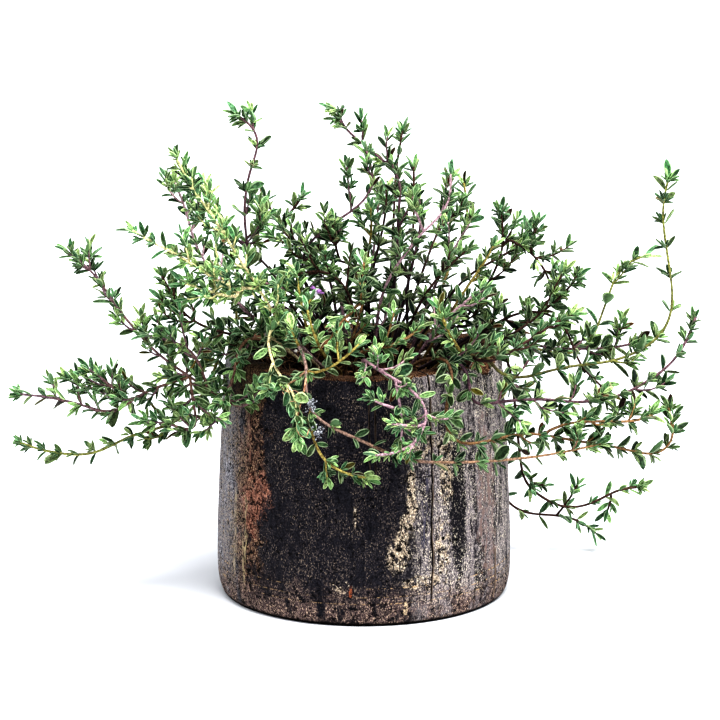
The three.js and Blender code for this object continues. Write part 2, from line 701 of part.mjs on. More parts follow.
function potGeometry() {
  const heights = [0, 1.5, 5, POT_BELLY_HEIGHT, 36, 66, 90, POT_HEIGHT - 1.6];
  const outside = heights.map((z) => [potOuterRadius(z), z]);
  const inner = POT_RIM_RADIUS - POT_WALL;
  const profile = [
    [0, 0],
    ...outside,
    [POT_RIM_RADIUS - 2, POT_HEIGHT],
    [inner + 1.5, POT_HEIGHT],
    [inner, POT_HEIGHT - 1.5],
    [inner, POT_FLOOR],
    [0, POT_FLOOR],
  ];
  return turned(profile, POT_SIDES, (p) =>
    rimWear(Math.atan2(p.y, p.x)) * THREE.MathUtils.clamp((p.z - POT_HEIGHT + RIM_BAND) / RIM_BAND, 0, 1),
  );
}

function soilBump(x, y) {
  return SOIL_BUMP * (Math.sin(0.31 * x + 1) * Math.cos(0.27 * y) + 0.6 * Math.sin(0.53 * x - 0.47 * y + 2));
}

// The soil: a plug that fills the pot, mounded and bumpy on top, with a hole for each stem's foot.
function soilSolid(sprigs) {
  const radius = POT_RIM_RADIUS - POT_WALL - GAP;
  const rings = Array.from({ length: SOIL_RINGS }, (_, k) => radius * (1 - k / SOIL_RINGS));
  const top = rings.map((r) => [r, SOIL_LEVEL + SOIL_MOUND * (1 - (r / radius) ** 2)]);
  const profile = [[0, POT_FLOOR + GAP], [radius, POT_FLOOR + GAP], ...top, [0, SOIL_LEVEL + SOIL_MOUND]];
  const geometry = turned(profile, POT_SIDES / 2, (p) => (p.z > SOIL_LEVEL - 1 ? soilBump(p.x, p.y) : 0));
  let solid = solidOf(geometry.attributes.position.array, [...geometry.index.array]);
  for (const [main] of sprigs) {
    const foot = main.points[0];
    const ends = [foot.clone().setZ(foot.z - GAP), foot.clone().setZ(POT_HEIGHT + 20)];
    const wide = STEM_FOOT_RADIUS + 2 * GAP;
    solid = solid.subtract(stemSolid({ points: ends, radii: [wide, wide] }, 4));
  }
  return solid;
}

// A two-lipped flower, on the short stalk that ends the front left sprig's branch.
function bloomSolid(stalk) {
  const end = stalk[stalk.length - 1];
  const along = end.clone().sub(stalk[stalk.length - 2]).normalize();
  const throat = end.clone().addScaledVector(along, GAP + 0.1);
  const mouth = throat.clone().addScaledVector(along, 3.2);
  const tube = { points: [throat, throat.clone().lerp(mouth, 0.4), mouth], radii: [0.5, 0.6, 1.3] };
  let solid = stemSolid(tube, 6);
  const [{ across, other }] = frames([throat, mouth]);
  [0.4, 1.57, 2.74, 4.3, 5.1].forEach((turn) => {
    const out = across.clone().multiplyScalar(Math.cos(turn)).addScaledVector(other, Math.sin(turn));
    const petal = out.clone().addScaledVector(along, 0.45).normalize();
    const facing = along.clone().addScaledVector(petal, -along.dot(petal)).normalize();
    const root = mouth.clone().addScaledVector(along, -0.5);
    solid = solid.add(leafSolid({ root, along: petal, normal: facing, length: PETAL_LENGTH }));
  });
  return solid;
}

function largestBody(solid) {
  return solid.decompose().reduce((a, b) => (a.volume() > b.volume() ? a : b));
}

function meshOf(name, solid, color, roughness) {
  const { numProp, numVert, vertProperties, triVerts } = largestBody(solid).getMesh();
  const positions = new Float32Array(numVert * 3);
  for (let i = 0; i < numVert; i++)
    positions.set(vertProperties.subarray(i * numProp, i * numProp + 3), i * 3);
  const geometry = new THREE.BufferGeometry();
  geometry.setAttribute("position", new THREE.BufferAttribute(positions, 3));
  geometry.setIndex(new THREE.BufferAttribute(triVerts, 1));
  geometry.computeVertexNormals();
  const mesh = new THREE.Mesh(geometry, new THREE.MeshStandardMaterial({ color, roughness, metalness: 0 }));
  mesh.name = name;
  return mesh;
}

const plant = allSprigs();
const sprigs = plant.map(sprigStems);
bendClear(sprigs);

const potShape = potGeometry();
const potSolid = solidOf(potShape.attributes.position.array, [...potShape.index.array]);
const soil = soilSolid(sprigs);
const flowering = plant.findIndex(({ name }) => name === "front_left");
const bloom = bloomSolid(sprigs[flowering][1].points);

const pottedThyme = new THREE.Group();
pottedThyme.add(
  meshOf("pot", potSolid, 0x2e2825, 0.6),
  meshOf("soil", soil, 0x2b1d14, 0.95),
  meshOf("bloom", bloom, 0x8a4fa0, 0.5),
);
sprigSolids(sprigs, [potSolid, soil, bloom]).forEach((solid, i) => {
  pottedThyme.add(meshOf("sprig_" + plant[i].name, solid, 0x3f6b3c, 0.6));
});

export default pottedThyme;
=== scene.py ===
# Potted thyme: the finish of every surface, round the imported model. Millimetres until each mesh is made.
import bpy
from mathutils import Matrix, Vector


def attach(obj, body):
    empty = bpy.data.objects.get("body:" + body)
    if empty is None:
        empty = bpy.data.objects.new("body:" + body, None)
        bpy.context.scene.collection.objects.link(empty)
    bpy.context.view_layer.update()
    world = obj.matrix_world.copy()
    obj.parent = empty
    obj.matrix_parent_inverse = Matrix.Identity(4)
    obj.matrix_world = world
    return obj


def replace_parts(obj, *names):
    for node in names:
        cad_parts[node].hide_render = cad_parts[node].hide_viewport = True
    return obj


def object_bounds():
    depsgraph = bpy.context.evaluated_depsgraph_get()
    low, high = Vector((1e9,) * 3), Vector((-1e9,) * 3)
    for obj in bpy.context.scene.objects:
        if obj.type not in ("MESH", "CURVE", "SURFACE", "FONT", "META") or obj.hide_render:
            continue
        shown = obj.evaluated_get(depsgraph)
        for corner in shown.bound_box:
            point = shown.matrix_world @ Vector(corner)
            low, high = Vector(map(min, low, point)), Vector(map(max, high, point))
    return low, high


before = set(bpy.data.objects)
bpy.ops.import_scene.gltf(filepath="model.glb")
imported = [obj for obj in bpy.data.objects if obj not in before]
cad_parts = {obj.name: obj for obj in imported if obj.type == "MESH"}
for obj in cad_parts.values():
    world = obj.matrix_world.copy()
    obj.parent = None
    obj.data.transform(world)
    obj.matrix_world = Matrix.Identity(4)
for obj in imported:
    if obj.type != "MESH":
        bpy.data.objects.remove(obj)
cad_box = [list(corner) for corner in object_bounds()]

import math

import bpy
from mathutils import Vector
import numpy as np

# The view. The photograph was taken from a little above the rim, from over a metre away. The plant's routes
# below are noted as seen from this eye, so its place comes first.
MM = 1000  # in a metre
EYE_DISTANCE = 1300
EYE_PITCH = math.radians(12.3)
AIM_HEIGHT = 102.8  # up the pot's axis
AIM_ACROSS = -1.7  # the photograph's middle lies this far left of the pot's axis
MM_PER_PIXEL = 0.44  # at the aim
PHOTO_SIDE = 720
SENSOR = 36
FARTHEST_SEEN = 20  # metres, which is beyond the floor's edge

camera_data = bpy.data.cameras.new("camera")
camera_data.sensor_width = SENSOR
camera_data.lens = SENSOR * EYE_DISTANCE / (PHOTO_SIDE * MM_PER_PIXEL)
camera_data.clip_end = FARTHEST_SEEN
camera = bpy.data.objects.new("camera", camera_data)
eye_back, eye_up = math.cos(EYE_PITCH) * EYE_DISTANCE, math.sin(EYE_PITCH) * EYE_DISTANCE
camera.location = [place / MM for place in (AIM_ACROSS, -eye_back, AIM_HEIGHT + eye_up)]
camera.rotation_euler = (math.pi / 2 - EYE_PITCH, 0, 0)
bpy.context.scene.collection.objects.link(camera)
bpy.context.scene.camera = camera


# The pot. It is one log, turned hollow and used for years: a blackened skin over red-brown wood, rubbed to
# grey and tan where it was handled, split along the grain, with turned rings near its foot and a chipped rim.
POT_HEIGHT = 108
POT_FOOT_RADIUS = 62
POT_BELLY_RADIUS = 65
POT_BELLY_HEIGHT = 13
POT_RIM_RADIUS = 60.5
POT_TAPER = 1.7  # above 1, the side turns in most near the rim
POT_WALL = 11
POT_FLOOR = 14
UNDER_FOOT = (0, 20, 40, 54, 58.5, 60.8)  # radii
FOOT_ROUND = (0.25, 0.8, 1.6, 2.6, 3.8, 5.2, 6.8, 8.4)  # heights
SIDE_FROM, SIDE_TO, SIDE_STEP = 9.4, 102, 1.1
RIM_OUTER_EDGE = ((0, 2.2), (0.2, 1.3), (0.8, 0.5), (1.7, 0.05))  # in from the side, down from the top
RIM_INNER_EDGE = ((1.2, 0.1), (0.4, 0.6), (0, 1.5))  # out from the inside, down from the top
PLAIN_COLUMNS = 360
RIM_BAND = 14  # the part of the side that follows the rim's wear
RIM_WAVES = ((0.7, 2, 2.2), (0.35, 5, 0))  # height, how many round the rim, and where they start
CHIP_ANGLE = -0.5
CHIP_HALF_ANGLE = 0.15
CHIP_DEPTH = 5
TURNED_LINES = (10.4, 13.4, 17.3, 64.8)  # heights of the rings cut by the turner
TURNED_HALF_WIDTH = 0.38
TURNED_DEPTH = 0.3
TURNED_STEPS = (-0.7, -0.35, 0, 0.35, 0.7)  # rows of the mesh across a ring
FIBRE_WIDTH, FIBRE_LENGTH, FIBRE_DEPTH = 2.2, 26, 0.28
SWELL_WIDTH, SWELL_LENGTH, SWELL_DEPTH = 18, 30, 0.5
ROT_ANGLE = -0.86  # from the front: a strip that has crumbled
ROT_HALF_ANGLE = 0.2
ROT_LOW, ROT_HIGH = (20, 34), (88, 99)  # heights between which it starts and ends
CRUMB_WIDTH, CRUMB_LENGTH, CRUMB_DEPTH = 3.4, 4.2, 1.5
# The black inside the splits is painted shade; this depth sets how deep a split must be to be painted black.
SPLIT_SHADE_DEPTH = 2.2  # a split this deep is quite black
# Splits along the grain: angle from the front, bottom and top height, half width, depth.
CRACKS = (
    (0.47, 8, 109, 0.34, 2.4),
    (0.035, 69, 109, 0.2, 1.4),
    (0.075, 64, 109, 0.22, 1.6),
    (1.085, 2, 24, 0.5, 2.6),
    (0.93, 91, 109, 0.45, 2.5),
    (-1.35, 10, 60, 0.25, 1.4),
    (2.2, 20, 109, 0.4, 2.6),
    (-2.5, 6, 70, 0.3, 2.0),
)
SPLIT_BENDS = ((14, 1.1, 3), (3.5, 0.5, 4))  # how long and wide a split's bends are, and their seeds
SPLIT_STEPS = (0, 0.5, 1, 1.6, 2.6)  # columns of the mesh beside a split, in its half widths


def smooth_step(low, high, value):
    t = np.clip((value - low) / (high - low), 0, 1)
    return t * t * (3 - 2 * t)


def lattice(ix, iy, seed):
    s = np.sin(ix * 127.1 + iy * 311.7 + seed * 74.7) * 43758.5453
    return s - np.floor(s)


def value_noise(x, y, seed, wrap=None):
    """Smooth noise from 0 to 1 on unit squares; wrap is the number of squares round a closed strip."""
    ix, iy = np.floor(x), np.floor(y)
    fx, fy = smooth_step(0, 1, x - ix), smooth_step(0, 1, y - iy)
    nx = ix + 1
    if wrap:
        ix, nx = ix % wrap, nx % wrap
    low = lattice(ix, iy, seed) * (1 - fx) + lattice(nx, iy, seed) * fx
    high = lattice(ix, iy + 1, seed) * (1 - fx) + lattice(nx, iy + 1, seed) * fx
    return low * (1 - fy) + high * fy


def mesh_object(name, points_mm, faces, *materials, smooth=True):
    """A mesh in metres from points in millimetres, with its materials, riding on the one body."""
    mesh = bpy.data.meshes.new(name)
    mesh.from_pydata((np.asarray(points_mm) / MM).tolist(), [], faces)
    mesh.polygons.foreach_set("use_smooth", [smooth] * len(mesh.polygons))
    mesh.update()
    for material in materials:
        mesh.materials.append(material)
    piece = bpy.data.objects.new(name, mesh)
    bpy.context.scene.collection.objects.link(piece)
    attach(piece, "root")
    return piece


def pot_outer_radius(z):
    low = np.clip(1 - np.maximum(z, 0) / POT_BELLY_HEIGHT, 0, 1)
    foot = POT_FOOT_RADIUS + (POT_BELLY_RADIUS - POT_FOOT_RADIUS) * np.sqrt(1 - low**2)
    t = np.clip((z - POT_BELLY_HEIGHT) / (POT_HEIGHT - POT_BELLY_HEIGHT), 0, 1)
    side = POT_BELLY_RADIUS + (POT_RIM_RADIUS - POT_BELLY_RADIUS) * t**POT_TAPER
    return np.where(z < POT_BELLY_HEIGHT, foot, side)


def rim_wear(angle):
    """How far the rim stands above or below its height; angle runs from +X."""
    turn = (angle - CHIP_ANGLE) / CHIP_HALF_ANGLE
    waves = sum(high * np.sin(count * angle + start) for high, count, start in RIM_WAVES)
    return waves - CHIP_DEPTH * np.exp(-turn * turn)


def pot_profile():
    """Radius and height along the pot's skin: under the foot, up the side, over the rim and down inside."""
    inner, top = POT_RIM_RADIUS - POT_WALL, POT_HEIGHT
    rows = [(r, 0.0) for r in UNDER_FOOT]
    rows += [(pot_outer_radius(z), z) for z in FOOT_ROUND]
    fine = [z + d for z in TURNED_LINES for d in TURNED_STEPS]
    heights = np.concatenate([np.arange(SIDE_FROM, SIDE_TO, SIDE_STEP), fine])
    rows += [(float(pot_outer_radius(z)), z) for z in sorted(set(np.round(heights, 3)))]
    rows += [(POT_RIM_RADIUS - across, top - down) for across, down in RIM_OUTER_EDGE]
    rows += [(r, top) for r in np.arange(POT_RIM_RADIUS - 2.8, inner + 1.8, -1.0)]
    rows += [(inner + across, top - down) for across, down in RIM_INNER_EDGE]
    rows += [(inner, z) for z in (top - 3, top - 5, top - 8, top - 12, 60, POT_FLOOR)]
    return np.array(rows + [(0, POT_FLOOR)])


def pot_columns():
    """Angles round the pot from the front, with extra ones where the wood is split."""
    columns = list(np.linspace(-math.pi, math.pi, PLAIN_COLUMNS + 1)[:-1])
    for angle, _, _, half_width, _ in CRACKS:
        for d in SPLIT_STEPS:
            columns += [angle + side * d * half_width / POT_BELLY_RADIUS for side in (-1, 1)]
    return np.array(sorted(set(np.round(columns, 5))))


def crack_depth(angle, z):
    """How deep the splits go at each point, and how far their wandering lines draw it aside."""
    depth, shift = np.zeros_like(z), np.zeros_like(z)
    for k, (at, low, high, half_width, deep) in enumerate(CRACKS):
        bends = [wide * (value_noise(z / long, z * 0 + k, seed) - 0.5) for long, wide, seed in SPLIT_BENDS]
        wander = sum(bends)
        off = (angle - at) * POT_BELLY_RADIUS
        ends = smooth_step(low - 4, low + 6, z) * (1 - smooth_step(high, high + 2, z))
        open_here = ends * (0.55 + 0.45 * value_noise(z / 9, z * 0 + k, 5))
        depth += deep * open_here * np.exp(-((off / half_width) ** 2))
        shift += wander * np.exp(-((off / 4) ** 2))
    return depth, shift / POT_BELLY_RADIUS


def grid_quads(grid):
    """Four-sided faces between the neighbours in a table of point numbers."""
    return np.stack([grid[:-1, :-1], grid[:-1, 1:], grid[1:, 1:], grid[1:, :-1]], axis=-1).reshape(-1, 4)


def ring_quads(rows, n):
    """Faces between rows of n points that each close into a ring."""
    grid = np.arange(rows * n).reshape(rows, n)
    return grid_quads(np.hstack([grid, grid[:, :1]]))


def pot_mesh():
    """The pot's skin, and for each point how much of a split and of a turned ring it lies in."""
    profile, columns = pot_profile(), pot_columns()
    radius = np.tile(profile[:, :1], (1, len(columns)))
    z = np.tile(profile[:, 1:], (1, len(columns)))
    angle = np.tile(columns, (len(profile), 1))
    outside = (radius > POT_RIM_RADIUS - 1) & (z > 0.1)
    on_top = (z > POT_HEIGHT - 8) & ~outside
    arc = (angle + math.pi) * POT_BELLY_RADIUS
    around = 2 * math.pi * POT_BELLY_RADIUS

    def relief(width, up, seed):
        """Noise in lumps of about this width, which meets itself behind the pot."""
        squares = round(around / width)
        return value_noise(arc / around * squares, up, seed, squares)

    fibre = relief(FIBRE_WIDTH, z / FIBRE_LENGTH, 7) - 0.5
    crumble = relief(CRUMB_WIDTH, z / CRUMB_LENGTH, 8) - 0.35
    swell = relief(SWELL_WIDTH, z / SWELL_LENGTH, 9) - 0.5
    rotten = np.exp(-(((angle - ROT_ANGLE) / ROT_HALF_ANGLE) ** 2))
    rotten = rotten * smooth_step(*ROT_LOW, z) * (1 - smooth_step(*ROT_HIGH, z))
    lines = sum(np.exp(-(((z - line) / TURNED_HALF_WIDTH) ** 2)) for line in TURNED_LINES)
    lines = lines * (0.35 + 0.65 * relief(SWELL_WIDTH, z / 20 + 5, 10))
    depth, shift = crack_depth(angle, z)
    worn_in = FIBRE_DEPTH * fibre + SWELL_DEPTH * swell + CRUMB_DEPTH * rotten * crumble
    worn_in = worn_in + TURNED_DEPTH * lines
    radius = radius - np.where(outside, smooth_step(0, 3, z) * worn_in + depth, 0)
    wear = rim_wear(angle - math.pi / 2) * np.clip((z - POT_HEIGHT + RIM_BAND) / RIM_BAND, 0, 1)
    knocks = relief(CRUMB_WIDTH, z * 0, 12) ** 3 + 0.6 * (relief(FIBRE_WIDTH, z * 0, 13) - 0.5)
    at_top = smooth_step(POT_HEIGHT - 2.5, POT_HEIGHT - 0.2, z) * (outside | on_top)
    z = z + wear - at_top * (knocks + 0.35 * depth)
    angle = angle + np.where(outside | on_top, shift, 0)
    points = np.stack([radius * np.sin(angle), -radius * np.cos(angle), z], axis=-1)
    n = len(columns)
    rings = points[1:-1].reshape(-1, 3)
    faces = ring_quads(len(profile) - 2, n).tolist()
    faces += [[i, len(rings), (i + 1) % n] for i in range(n)]
    base = len(rings) - n
    faces += [[base + (i + 1) % n, len(rings) + 1, base + i] for i in range(n)]
    marks = np.where(outside | on_top, depth, 0) / SPLIT_SHADE_DEPTH, np.where(outside, lines, 0)
    split, ring = (np.append(mark[1:-1].ravel(), [0, 0]) for mark in marks)
    return np.vstack([rings, points[0, :1], points[-1, :1]]), faces, split, ring


def mark_points(piece, **marks):
    """Keeps a number, or three, for each point of a mesh, for its material."""
    for name, values in marks.items():
        kind, field = ("FLOAT", "value") if values.ndim == 1 else ("FLOAT_VECTOR", "vector")
        attribute = piece.data.attributes.new(name, kind, "POINT")
        attribute.data.foreach_set(field, values.ravel().astype("float32"))


def linear(colour):
    """A '#rrggbb' sRGB colour as the linear RGBA that a shader takes."""
    parts = [int(colour[i : i + 2], 16) / 255 for i in (1, 3, 5)]
    return [c / 12.92 if c <= 0.04045 else ((c + 0.055) / 1.055) ** 2.4 for c in parts] + [1.0]


def add(tree, kind, inputs=None, give=0, **settings):
    """Adds a node, sets or links its inputs, and gives one of its outputs, or with give=None the node."""
    node = tree.nodes.new("ShaderNode" + kind)
    for key, value in settings.items():
        setattr(node, key, value)
    for key, value in (inputs or {}).items():
        if isinstance(value, bpy.types.NodeSocket):
            tree.links.new(value, node.inputs[key])
        else:
            node.inputs[key].default_value = linear(value) if isinstance(value, str) else value
    return node if give is None else node.outputs[give]


def new_material(name):
    material = bpy.data.materials.new(name)
    material.use_nodes = True
    material.node_tree.nodes.clear()
    return material, material.node_tree


def finished(material, colour, roughness, specular, strength=0.0, depth=0.0, relief=None):
    """The material with its shader: a colour, a gloss, and if there is one, a relief of this depth in mm."""
    tree = material.node_tree
    look = {"Base Color": colour, "Roughness": roughness, "Specular IOR Level": specular}
    if relief is not None:
        look["Normal"] = add(tree, "Bump", {"Strength": strength, "Distance": depth / MM, "Height": relief})
    add(tree, "OutputMaterial", {0: add(tree, "BsdfPrincipled", look)}, give=None)
    return material


def worn(tree, colour, *coats):
    """Finishes laid over each other. Each is (its colour, mask, ...), and shows where all its masks do.
    A mask is (a value, where it starts to show, where it is full)."""
    for above, *masks in coats:
        shows = 1.0
        for value, starts, full in masks:
            part = add(tree, "MapRange", {0: value, 1: starts, 2: full}, interpolation_type="SMOOTHSTEP")
            shows = add(tree, "Math", {0: part, 1: shows}, operation="MULTIPLY")
        colour = add(tree, "Mix", {0: shows, 6: colour, 7: above}, give=2, data_type="RGBA")
    return colour


def old_wood():
    """Turned wood under a skin of soot and oil: nearly black with little gloss, and matt where it is bare."""
    material, tree = new_material("old_wood_blackened")
    place = add(tree, "TexCoord", give="Object")
    mm = add(tree, "VectorMath", {0: place, "Scale": MM}, operation="SCALE")
    xyz = add(tree, "SeparateXYZ", {0: mm}, give=None)
    height = xyz.outputs["Z"]
    toward = add(tree, "Math", {0: xyz.outputs["Y"], 1: -1}, operation="MULTIPLY")
    angle = add(tree, "Math", {0: xyz.outputs["X"], 1: toward}, operation="ARCTAN2")
    arc = add(tree, "Math", {0: angle, 1: POT_BELLY_RADIUS}, operation="MULTIPLY")
    skin = add(tree, "CombineXYZ", {0: arc, 1: height})

    # The grain of the wood and of its dirt: size in mm, how much finer detail, how rough that is, and how far
    # it is drawn out upright.
    grain = []
    for size, detail, roughness, upright in (
        (1.0, 4, 0.65, 11), (3.0, 4, 0.65, 9), (7.0, 4, 0.6, 9), (0.5, 2, 0.75, 1.6),
        (0.8, 4, 0.8, 1), (2.2, 5, 0.8, 2), (8, 5, 0.7, 2), (9, 4, 0.7, 1), (2.4, 4, 0.75, 1),
    ):
        drawn = add(tree, "VectorMath", {0: mm, 1: (1, 1, 1 / upright)}, operation="MULTIPLY")
        noise = {"Vector": drawn, "Scale": 1 / size, "Detail": detail, "Roughness": roughness}
        grain.append(add(tree, "TexNoise", noise))
    fibre, streak, stripe, grit, dust, flake, cloud, tear, fray = grain
    # The arc and the height with torn edges, for wood that is worn on one side of a line.
    shakes = add(tree, "Math", {0: tear, 1: 22, 2: arc}, operation="MULTIPLY_ADD")
    waves = add(tree, "Math", {0: tear, 1: 30, 2: height}, operation="MULTIPLY_ADD")

    def patch(at_degrees, at_height, half_width, half_height, torn=0.9):
        """A worn place round a middle, with half its width and height and a ragged edge: a mask."""
        middle = (math.radians(at_degrees) * POT_BELLY_RADIUS, at_height, 0)
        off = add(tree, "VectorMath", {0: skin, 1: middle}, operation="SUBTRACT")
        off = add(tree, "VectorMath", {0: off, 1: (1 / half_width, 1 / half_height, 0)}, operation="MULTIPLY")
        far = add(tree, "VectorMath", {0: off}, give="Value", operation="LENGTH")
        for rag, share in ((tear, 2), (fray, 1.6)):
            far = add(tree, "Math", {0: rag, 1: share * torn, 2: far}, operation="MULTIPLY_ADD")
        return far, 1.15 + 1.8 * torn, 0.8 + 1.8 * torn

    # The black skin: soot, dusted with grey and brown grains where it has rubbed thin.
    colour = worn(tree, "#09090c", ("#16161b", (streak, 0.38, 0.62)), ("#2b2a30", (dust, 0.42, 0.6)),
                  ("#403b3f", (grit, 0.48, 0.62), (cloud, 0.34, 0.54)),
                  ("#75695f", (grit, 0.56, 0.64), (cloud, 0.45, 0.6)),
                  ("#baa78f", (grit, 0.62, 0.69), (dust, 0.46, 0.56), (cloud, 0.4, 0.5)),
                  ("#040405", (fray, 0.42, 0.35)))
    # Reddish wood where the skin has crumbled away, left of the front: dark pits, one clean spot, and narrow
    # strips of bare wood.
    red_wood = worn(tree, "#120f0f", ("#554036", (flake, 0.43, 0.54)), ("#876858", (grit, 0.46, 0.58)),
                    ("#ddbe98", (grit, 0.57, 0.64), (dust, 0.44, 0.54)), ("#040404", (fray, 0.52, 0.44)))
    clean_wood = worn(tree, "#3a2620", ("#865b4c", (dust, 0.4, 0.54)), ("#c0917b", (grit, 0.5, 0.6)),
                      ("#110c0c", (flake, 0.49, 0.42)))
    colour = worn(tree, colour, (red_wood, patch(-53, 60, 12, 52, 1.2), (cloud, 0.36, 0.46)),
                  (clean_wood, patch(-48, 50, 9, 13, 1.5), (fray, 0.42, 0.5)),
                  ("#7c5649", patch(-52, 82, 1.6, 16, 0.4), (fibre, 0.48, 0.56), (flake, 0.42, 0.5)),
                  ("#aa9a79", patch(-53, 30, 1.4, 20, 0.5), (fibre, 0.48, 0.56), (flake, 0.44, 0.5)),
                  ("#aa9a79", patch(-60, 34, 1.6, 26, 0.5), (fibre, 0.48, 0.56), (flake, 0.44, 0.5)))
    # Grey-brown, handled wood on the right, with dark, pinkish and pale streaks down the grain; towards the
    # right edge its grey is partly a painted reflection of the bright surroundings.
    grey_wood_and_sheen = worn(tree, "#242227", ("#4a4548", (streak, 0.4, 0.5)), ("#7d7678", (flake, 0.44, 0.54)),
                     ("#b7aca8", (grit, 0.48, 0.58)), ("#2b282d", (stripe, 0.54, 0.45), (fray, 0.58, 0.48)),
                     ("#fff3db", (grit, 0.57, 0.64), (cloud, 0.42, 0.54)), ("#222024", (fibre, 0.56, 0.63)))
    colour = worn(tree, colour, (grey_wood_and_sheen, (shakes, 24, 44), (shakes, 196, 176)),
                  ("#54515d", patch(24, 55, 2.4, 34, 0.9), (fibre, 0.5, 0.6)),
                  ("#86716a", patch(56, 48, 7, 36, 1.0), (flake, 0.46, 0.56)),
                  ("#1b1a1f", patch(39, 52, 4.6, 34, 0.7), (grit, 0.66, 0.56)))
    # Grey on the left: partly weathered grey wood, partly a painted reflection of the bright surroundings
    # towards the grazing edge, with tan grains where it meets the black.
    left_grey_and_sheen = worn(tree, "#2a292d", ("#767479", (fibre, 0.38, 0.54)), ("#d6d2d6", (grit, 0.48, 0.64)),
                     ("#232123", (fray, 0.44, 0.38)), ("#2a272a", (stripe, 0.54, 0.44), (shakes, -84, -108)))
    colour = worn(tree, colour, (left_grey_and_sheen, (shakes, -46, -72), (grit, 0.36, 0.5), (shakes, -196, -176)),
                  (left_grey_and_sheen, (shakes, -60, -78), (shakes, -190, -172), (cloud, 0.36, 0.46)),
                  ("#ac9576", (shakes, -46, -54), (grit, 0.55, 0.62), (cloud, 0.42, 0.52)))
    # Cream scabs near the middle split, where old lime has stuck and flaked.
    scab = worn(tree, "#2e2827", ("#9f8f7e", (dust, 0.43, 0.54)), ("#ebd6b8", (grit, 0.48, 0.56)),
                ("#fff6e4", (grit, 0.58, 0.65)), ("#100e0c", (fray, 0.5, 0.44)))
    for broken, *middle_and_size in (
        (0.48, 18.5, 55, 2.5, 15), (0.49, 13, 32, 5.0, 9), (0.46, 16, 44, 2.4, 6), (0.5, 33, 65, 4.2, 15),
        (0.52, 25, 78, 6, 5), (0.52, 31, 34, 4.4, 14), (0.52, 24, 19, 12, 3), (0.5, -3.4, 48, 0.8, 6),
        (0.53, -8, 18, 5, 3), (0.54, 38, 80, 8, 4),
    ):
        colour = worn(tree, colour, (scab, patch(*middle_and_size, 1.2), (flake, broken - 0.04, broken),
                                     (flake, broken + 0.16, broken + 0.07)))
    # The foot is scuffed brown, with dashes of pale wood along the turned rings.
    scuffed = worn(tree, "#261f1f", ("#544645", (flake, 0.42, 0.54)), ("#947e76", (grit, 0.47, 0.58)),
                   ("#fcdebc", (grit, 0.57, 0.64), (dust, 0.44, 0.54)), ("#181416", (fray, 0.48, 0.42)))
    ring = add(tree, "Attribute", give="Fac", attribute_name="ring")
    colour = worn(tree, colour, (scuffed, (waves, 36, 16), (cloud, 0.34, 0.5)),
                  ("#caaa80", (ring, 0.3, 0.8), (flake, 0.52, 0.57), (height, 30, 22)),
                  ("#030303", (ring, 0.35, 0.8), (flake, 0.52, 0.46)))
    # Splits: black inside as painted shade, darkest where they go deepest, with pale torn edges.
    split = add(tree, "Attribute", give="Fac", attribute_name="split")
    colour = worn(tree, colour, ("#887668", (split, 0.02, 0.12), (streak, 0.48, 0.56)),
                  ("#020202", (split, 0.16, 0.4)))
    # The rim's top is bare brown wood, darker in its grain, and dull at the left.
    normal = add(tree, "NewGeometry", give="Normal")
    up = add(tree, "SeparateXYZ", {0: normal}, give="Z")
    up = add(tree, "Math", {0: fray, 1: 0.6, 2: up}, operation="MULTIPLY_ADD")
    raw_rim = worn(tree, "#221711", ("#4e3627", (flake, 0.4, 0.54)), ("#89644b", (grit, 0.48, 0.62)),
                   ("#c6a180", (grit, 0.6, 0.68)), ("#140c09", (fibre, 0.54, 0.6)))
    dull_wood = worn(tree, "#120d0a", ("#43342a", (fibre, 0.42, 0.56)), ("#7d6850", (grit, 0.54, 0.62)))
    colour = worn(tree, colour, (raw_rim, (height, POT_HEIGHT - 12, POT_HEIGHT - 7), (up, 0.95, 1.15)),
                  (dull_wood, patch(-58, 100, 16, 14, 0.5), (height, 86, 94)))
    # Two fresh chips, a painted contact shadow along the edge that the pot stands on, and two worm holes.
    for at_degrees, at_height, bare in ((-5, 16, "#93553a"), (16, 8, "#cdb697")):
        colour = worn(tree, colour, (bare, patch(at_degrees, at_height, 0.9, 2.8, 0.9), (grit, 0.44, 0.52)))
    # Painted contact shadow: the side is painted near black below 1 mm, fading out by 2.4 mm.
    colour = worn(tree, colour, ("#050404", (height, 2.4, 1.0)))
    for at_degrees, at_height in ((31.5, 37), (37.5, 35.5)):
        colour = worn(tree, colour, ("#020202", patch(at_degrees, at_height, 0.8, 0.8, 0.02)))

    rough = add(tree, "MapRange", {0: dust, 1: 0.35, 2: 0.7, 3: 0.5, 4: 0.8})
    relief = add(tree, "Math", {0: fibre, 1: 0.7, 2: flake}, operation="MULTIPLY_ADD")
    relief = add(tree, "Math", {0: grit, 1: 0.6, 2: relief}, operation="MULTIPLY_ADD")
    return finished(material, colour, rough, 0.04, 1.0, 1.1, relief)


pot_points, pot_faces, pot_splits, pot_rings = pot_mesh()
pot = mesh_object("pot_turned_wood", pot_points, pot_faces, old_wood())
mark_points(pot, split=pot_splits, ring=pot_rings)
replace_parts(pot, "pot")


